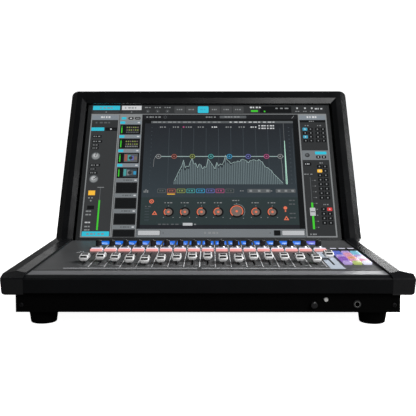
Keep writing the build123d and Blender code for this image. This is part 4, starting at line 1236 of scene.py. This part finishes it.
def network_box(piece, x, z, back):
    """Metal-lined mouth with eight contacts."""
    left, right, low, high = x - MOUTH_HALF[0], x + MOUTH_HALF[0], z - MOUTH_HALF[1], z + MOUTH_HALF[1]
    wall = 0.35
    for box in ((left, low, left + wall, high), (right - wall, low, right, high),
                (left, low, right, low + wall), (left, high - wall, right, high)):
        piece.slab(*box, -11.6, 1.6, 2)
    piece.slab(x - 11.0, z - 11.0, x + 11.0, z + 11.0, back, -12.0, 0)
    for n in range(8):
        contact = x - 3.6 + n * 1.02
        piece.slab(contact - 0.2, low + wall, contact + 0.2, low + 1.6, -10.0, -2.0, 3)
    for side in (-1, 1):
        piece.slab(x + side * 4.4 - 0.8, high - 1.5, x + side * 4.4 + 0.8, high - 0.5, -1.0, 0.6, 3)


def mains_details():
    """Three pins in the mouth of the mains inlet, and the two screws of its module."""
    x, z = centre_of("mains_inlet", REAR)[:2]
    mouth = x - 10.0
    pins = Piece(REAR, "nickel", "screw", "hole")
    for offset, height in ((-7.0, -0.6), (0.0, 3.2), (7.0, -0.6)):
        pins.prism(round_rectangle(mouth + offset, z + height, 2.0, 4.0, 0.6, 3), -12.0, -1.0, 0, bevel=0.4)
    for side in (-1, 1):
        cross_screw(pins, x + side * 26.2, z, 2.5, 1.8, 0.9, 1, 2)
    pins.done("inlet_pins", "console")


def vent_shade_sheet():
    """Black sheet behind the ventilation slots of the rear panel: painted shade standing in for the dark
    inside.
    """
    sheet = Piece(REAR, "hole")
    inside = local_box("rear_panel", REAR)[0].z
    sheet.slab(-80, 52, 80, 88, inside - 1.2, inside - 0.6)
    sheet.done("rear_vent_painted_shade", "console")


def foot_washers():
    """A washer let into the sole of each foot."""
    soles = place((0, 0, 0), (1, 0, 0), (0, 0, -1))
    piece = Piece(soles, "screw")
    for centre in separate_parts("rubber_feet"):
        spot = soles.inverted() @ centre
        piece.ring(spot.x, spot.y, 6.0, 2.6, -0.5, -0.05)
    piece.done("foot_washers", "console")


# ---------------------------------------------------------------- stage, light and camera
# The surround is white where the camera sees it and dim for every reflection in the black console.
STAGE_TONE = (0.16, 0.9)
STAGE_GLOW = (0.04, 0.97)
WORLD_GLOW = (0.045, 1.05)
CAMERA_X = 0.0035
CAMERA_BACK = 0.9337        # distance in front of the console
CAMERA_HEIGHT = 0.227
CAMERA_DOWN = 3.9           # degrees
CAMERA_TURN = 0.2
LENS = 60.6


def softbox(name, spot, target, size, power):
    """A rectangular area light aimed at a point."""
    light = bpy.data.lights.new(name, "AREA")
    light.shape = "RECTANGLE"
    light.size, light.size_y = size
    light.energy = power
    thing = add_object(name, light)
    thing.location = spot
    thing.rotation_euler = (Vector(target) - Vector(spot)).to_track_quat("-Z", "Y").to_euler()
    thing.visible_camera = False


def glow(tree, levels, target, entry):
    """Sets a strength to the first level for reflections and to the second for the camera's view."""
    seen = node(tree, "LightPath")
    level = node(tree, "MapRange", To_Min=levels[0], To_Max=levels[1])
    link(seen, "Is Camera Ray", level, "Value")
    link(level, "Result", target, entry)
    return seen


def stage():
    """Pale floor that curves up into a backdrop."""
    material, tree, shader = new_material("stage_white")
    shader.inputs["Roughness"].default_value = 0.9
    shader.inputs["Emission Color"].default_value = (1, 1, 1, 1)
    seen = glow(tree, STAGE_GLOW, shader, "Emission Strength")
    dim, bright = STAGE_TONE
    tone = colour_mix(tree, (dim, dim, dim, 1), (bright, bright, bright, 1))
    link(seen, "Is Camera Ray", tone, 0)
    link(tone, 2, shader, "Base Color")
    data = bpy.data.meshes.new("stage")
    sweep = bmesh.new()
    half, back, radius, height = 9.0, 5.0, 1.5, 7.0
    below = 0.0004          # keeps the floor just under the feet
    profile = [(-half, 0.0), (back - radius, 0.0)]
    profile += [(back - radius + radius * sin(step * pi / 16), radius - radius * cos(step * pi / 16))
                for step in range(1, 9)]
    profile.append((back, height))
    rows = [[sweep.verts.new((x, y, z - below)) for x in (-half, half)] for y, z in profile]
    for low, high in zip(rows, rows[1:]):
        sweep.faces.new((low[0], low[1], high[1], high[0]))
    sweep.to_mesh(data)
    sweep.free()
    data.shade_smooth()
    data.materials.append(material)
    add_object("stage", data)


def lights():
    """Small lights behind that edge the cheeks, soft ones above and in front, and a dim surround."""
    softbox("rim_right", (1.14, 2.75, 0.45), (0.2, 0, 0.1), (0.62, 0.4), 5.6)
    softbox("side_right", (1.85, 2.3, 0.6), (0.1, -0.1, 0.1), (0.8, 0.6), 11)
    softbox("rim_left", (-0.8, 2.6, 0.85), (-0.2, 0, 0.1), (0.4, 0.36), 0.28)
    softbox("back", (-2.4, 1.6, 3.0), (0, 0.2, 0.1), (1.6, 1.2), 15)
    softbox("top", (1.9, 0.1, 1.9), (0, 0, 0.1), (1.1, 1.0), 82)
    softbox("front_fill", (0.9, -2.2, 1.5), (0, 0, 0.1), (1.4, 1.4), 30)
    world = bpy.data.worlds.new("surround")
    world.use_nodes = True
    background = world.node_tree.nodes["Background"]
    background.inputs["Color"].default_value = (1, 1, 1, 1)
    glow(world.node_tree, WORLD_GLOW, background, "Strength")
    bpy.context.scene.world = world
    bpy.context.scene.view_settings.view_transform = "Standard"


def camera():
    """Camera in front of the console, a little above the deck and tilted down slightly."""
    view = bpy.data.cameras.new("camera")
    view.sensor_width = 36.0
    view.lens = LENS
    view.clip_start = 0.05
    thing = add_object("camera", view)
    thing.location = (CAMERA_X, cad_bounds[0][1] - CAMERA_BACK, CAMERA_HEIGHT)
    thing.rotation_euler = (radians(90 - CAMERA_DOWN), 0, radians(CAMERA_TURN))
    bpy.context.scene.camera = thing


camera()
lights()
stage()
finish_nodes()
for channel in CHANNELS:
    fader_cap(channel)
    knob(channel)
channel_keys()
user_keys()
channel_windows()
silkscreen()
screen()
front_controls()
all_screws()
rear_sockets()
mains_details()
vent_shade_sheet()
foot_washers()
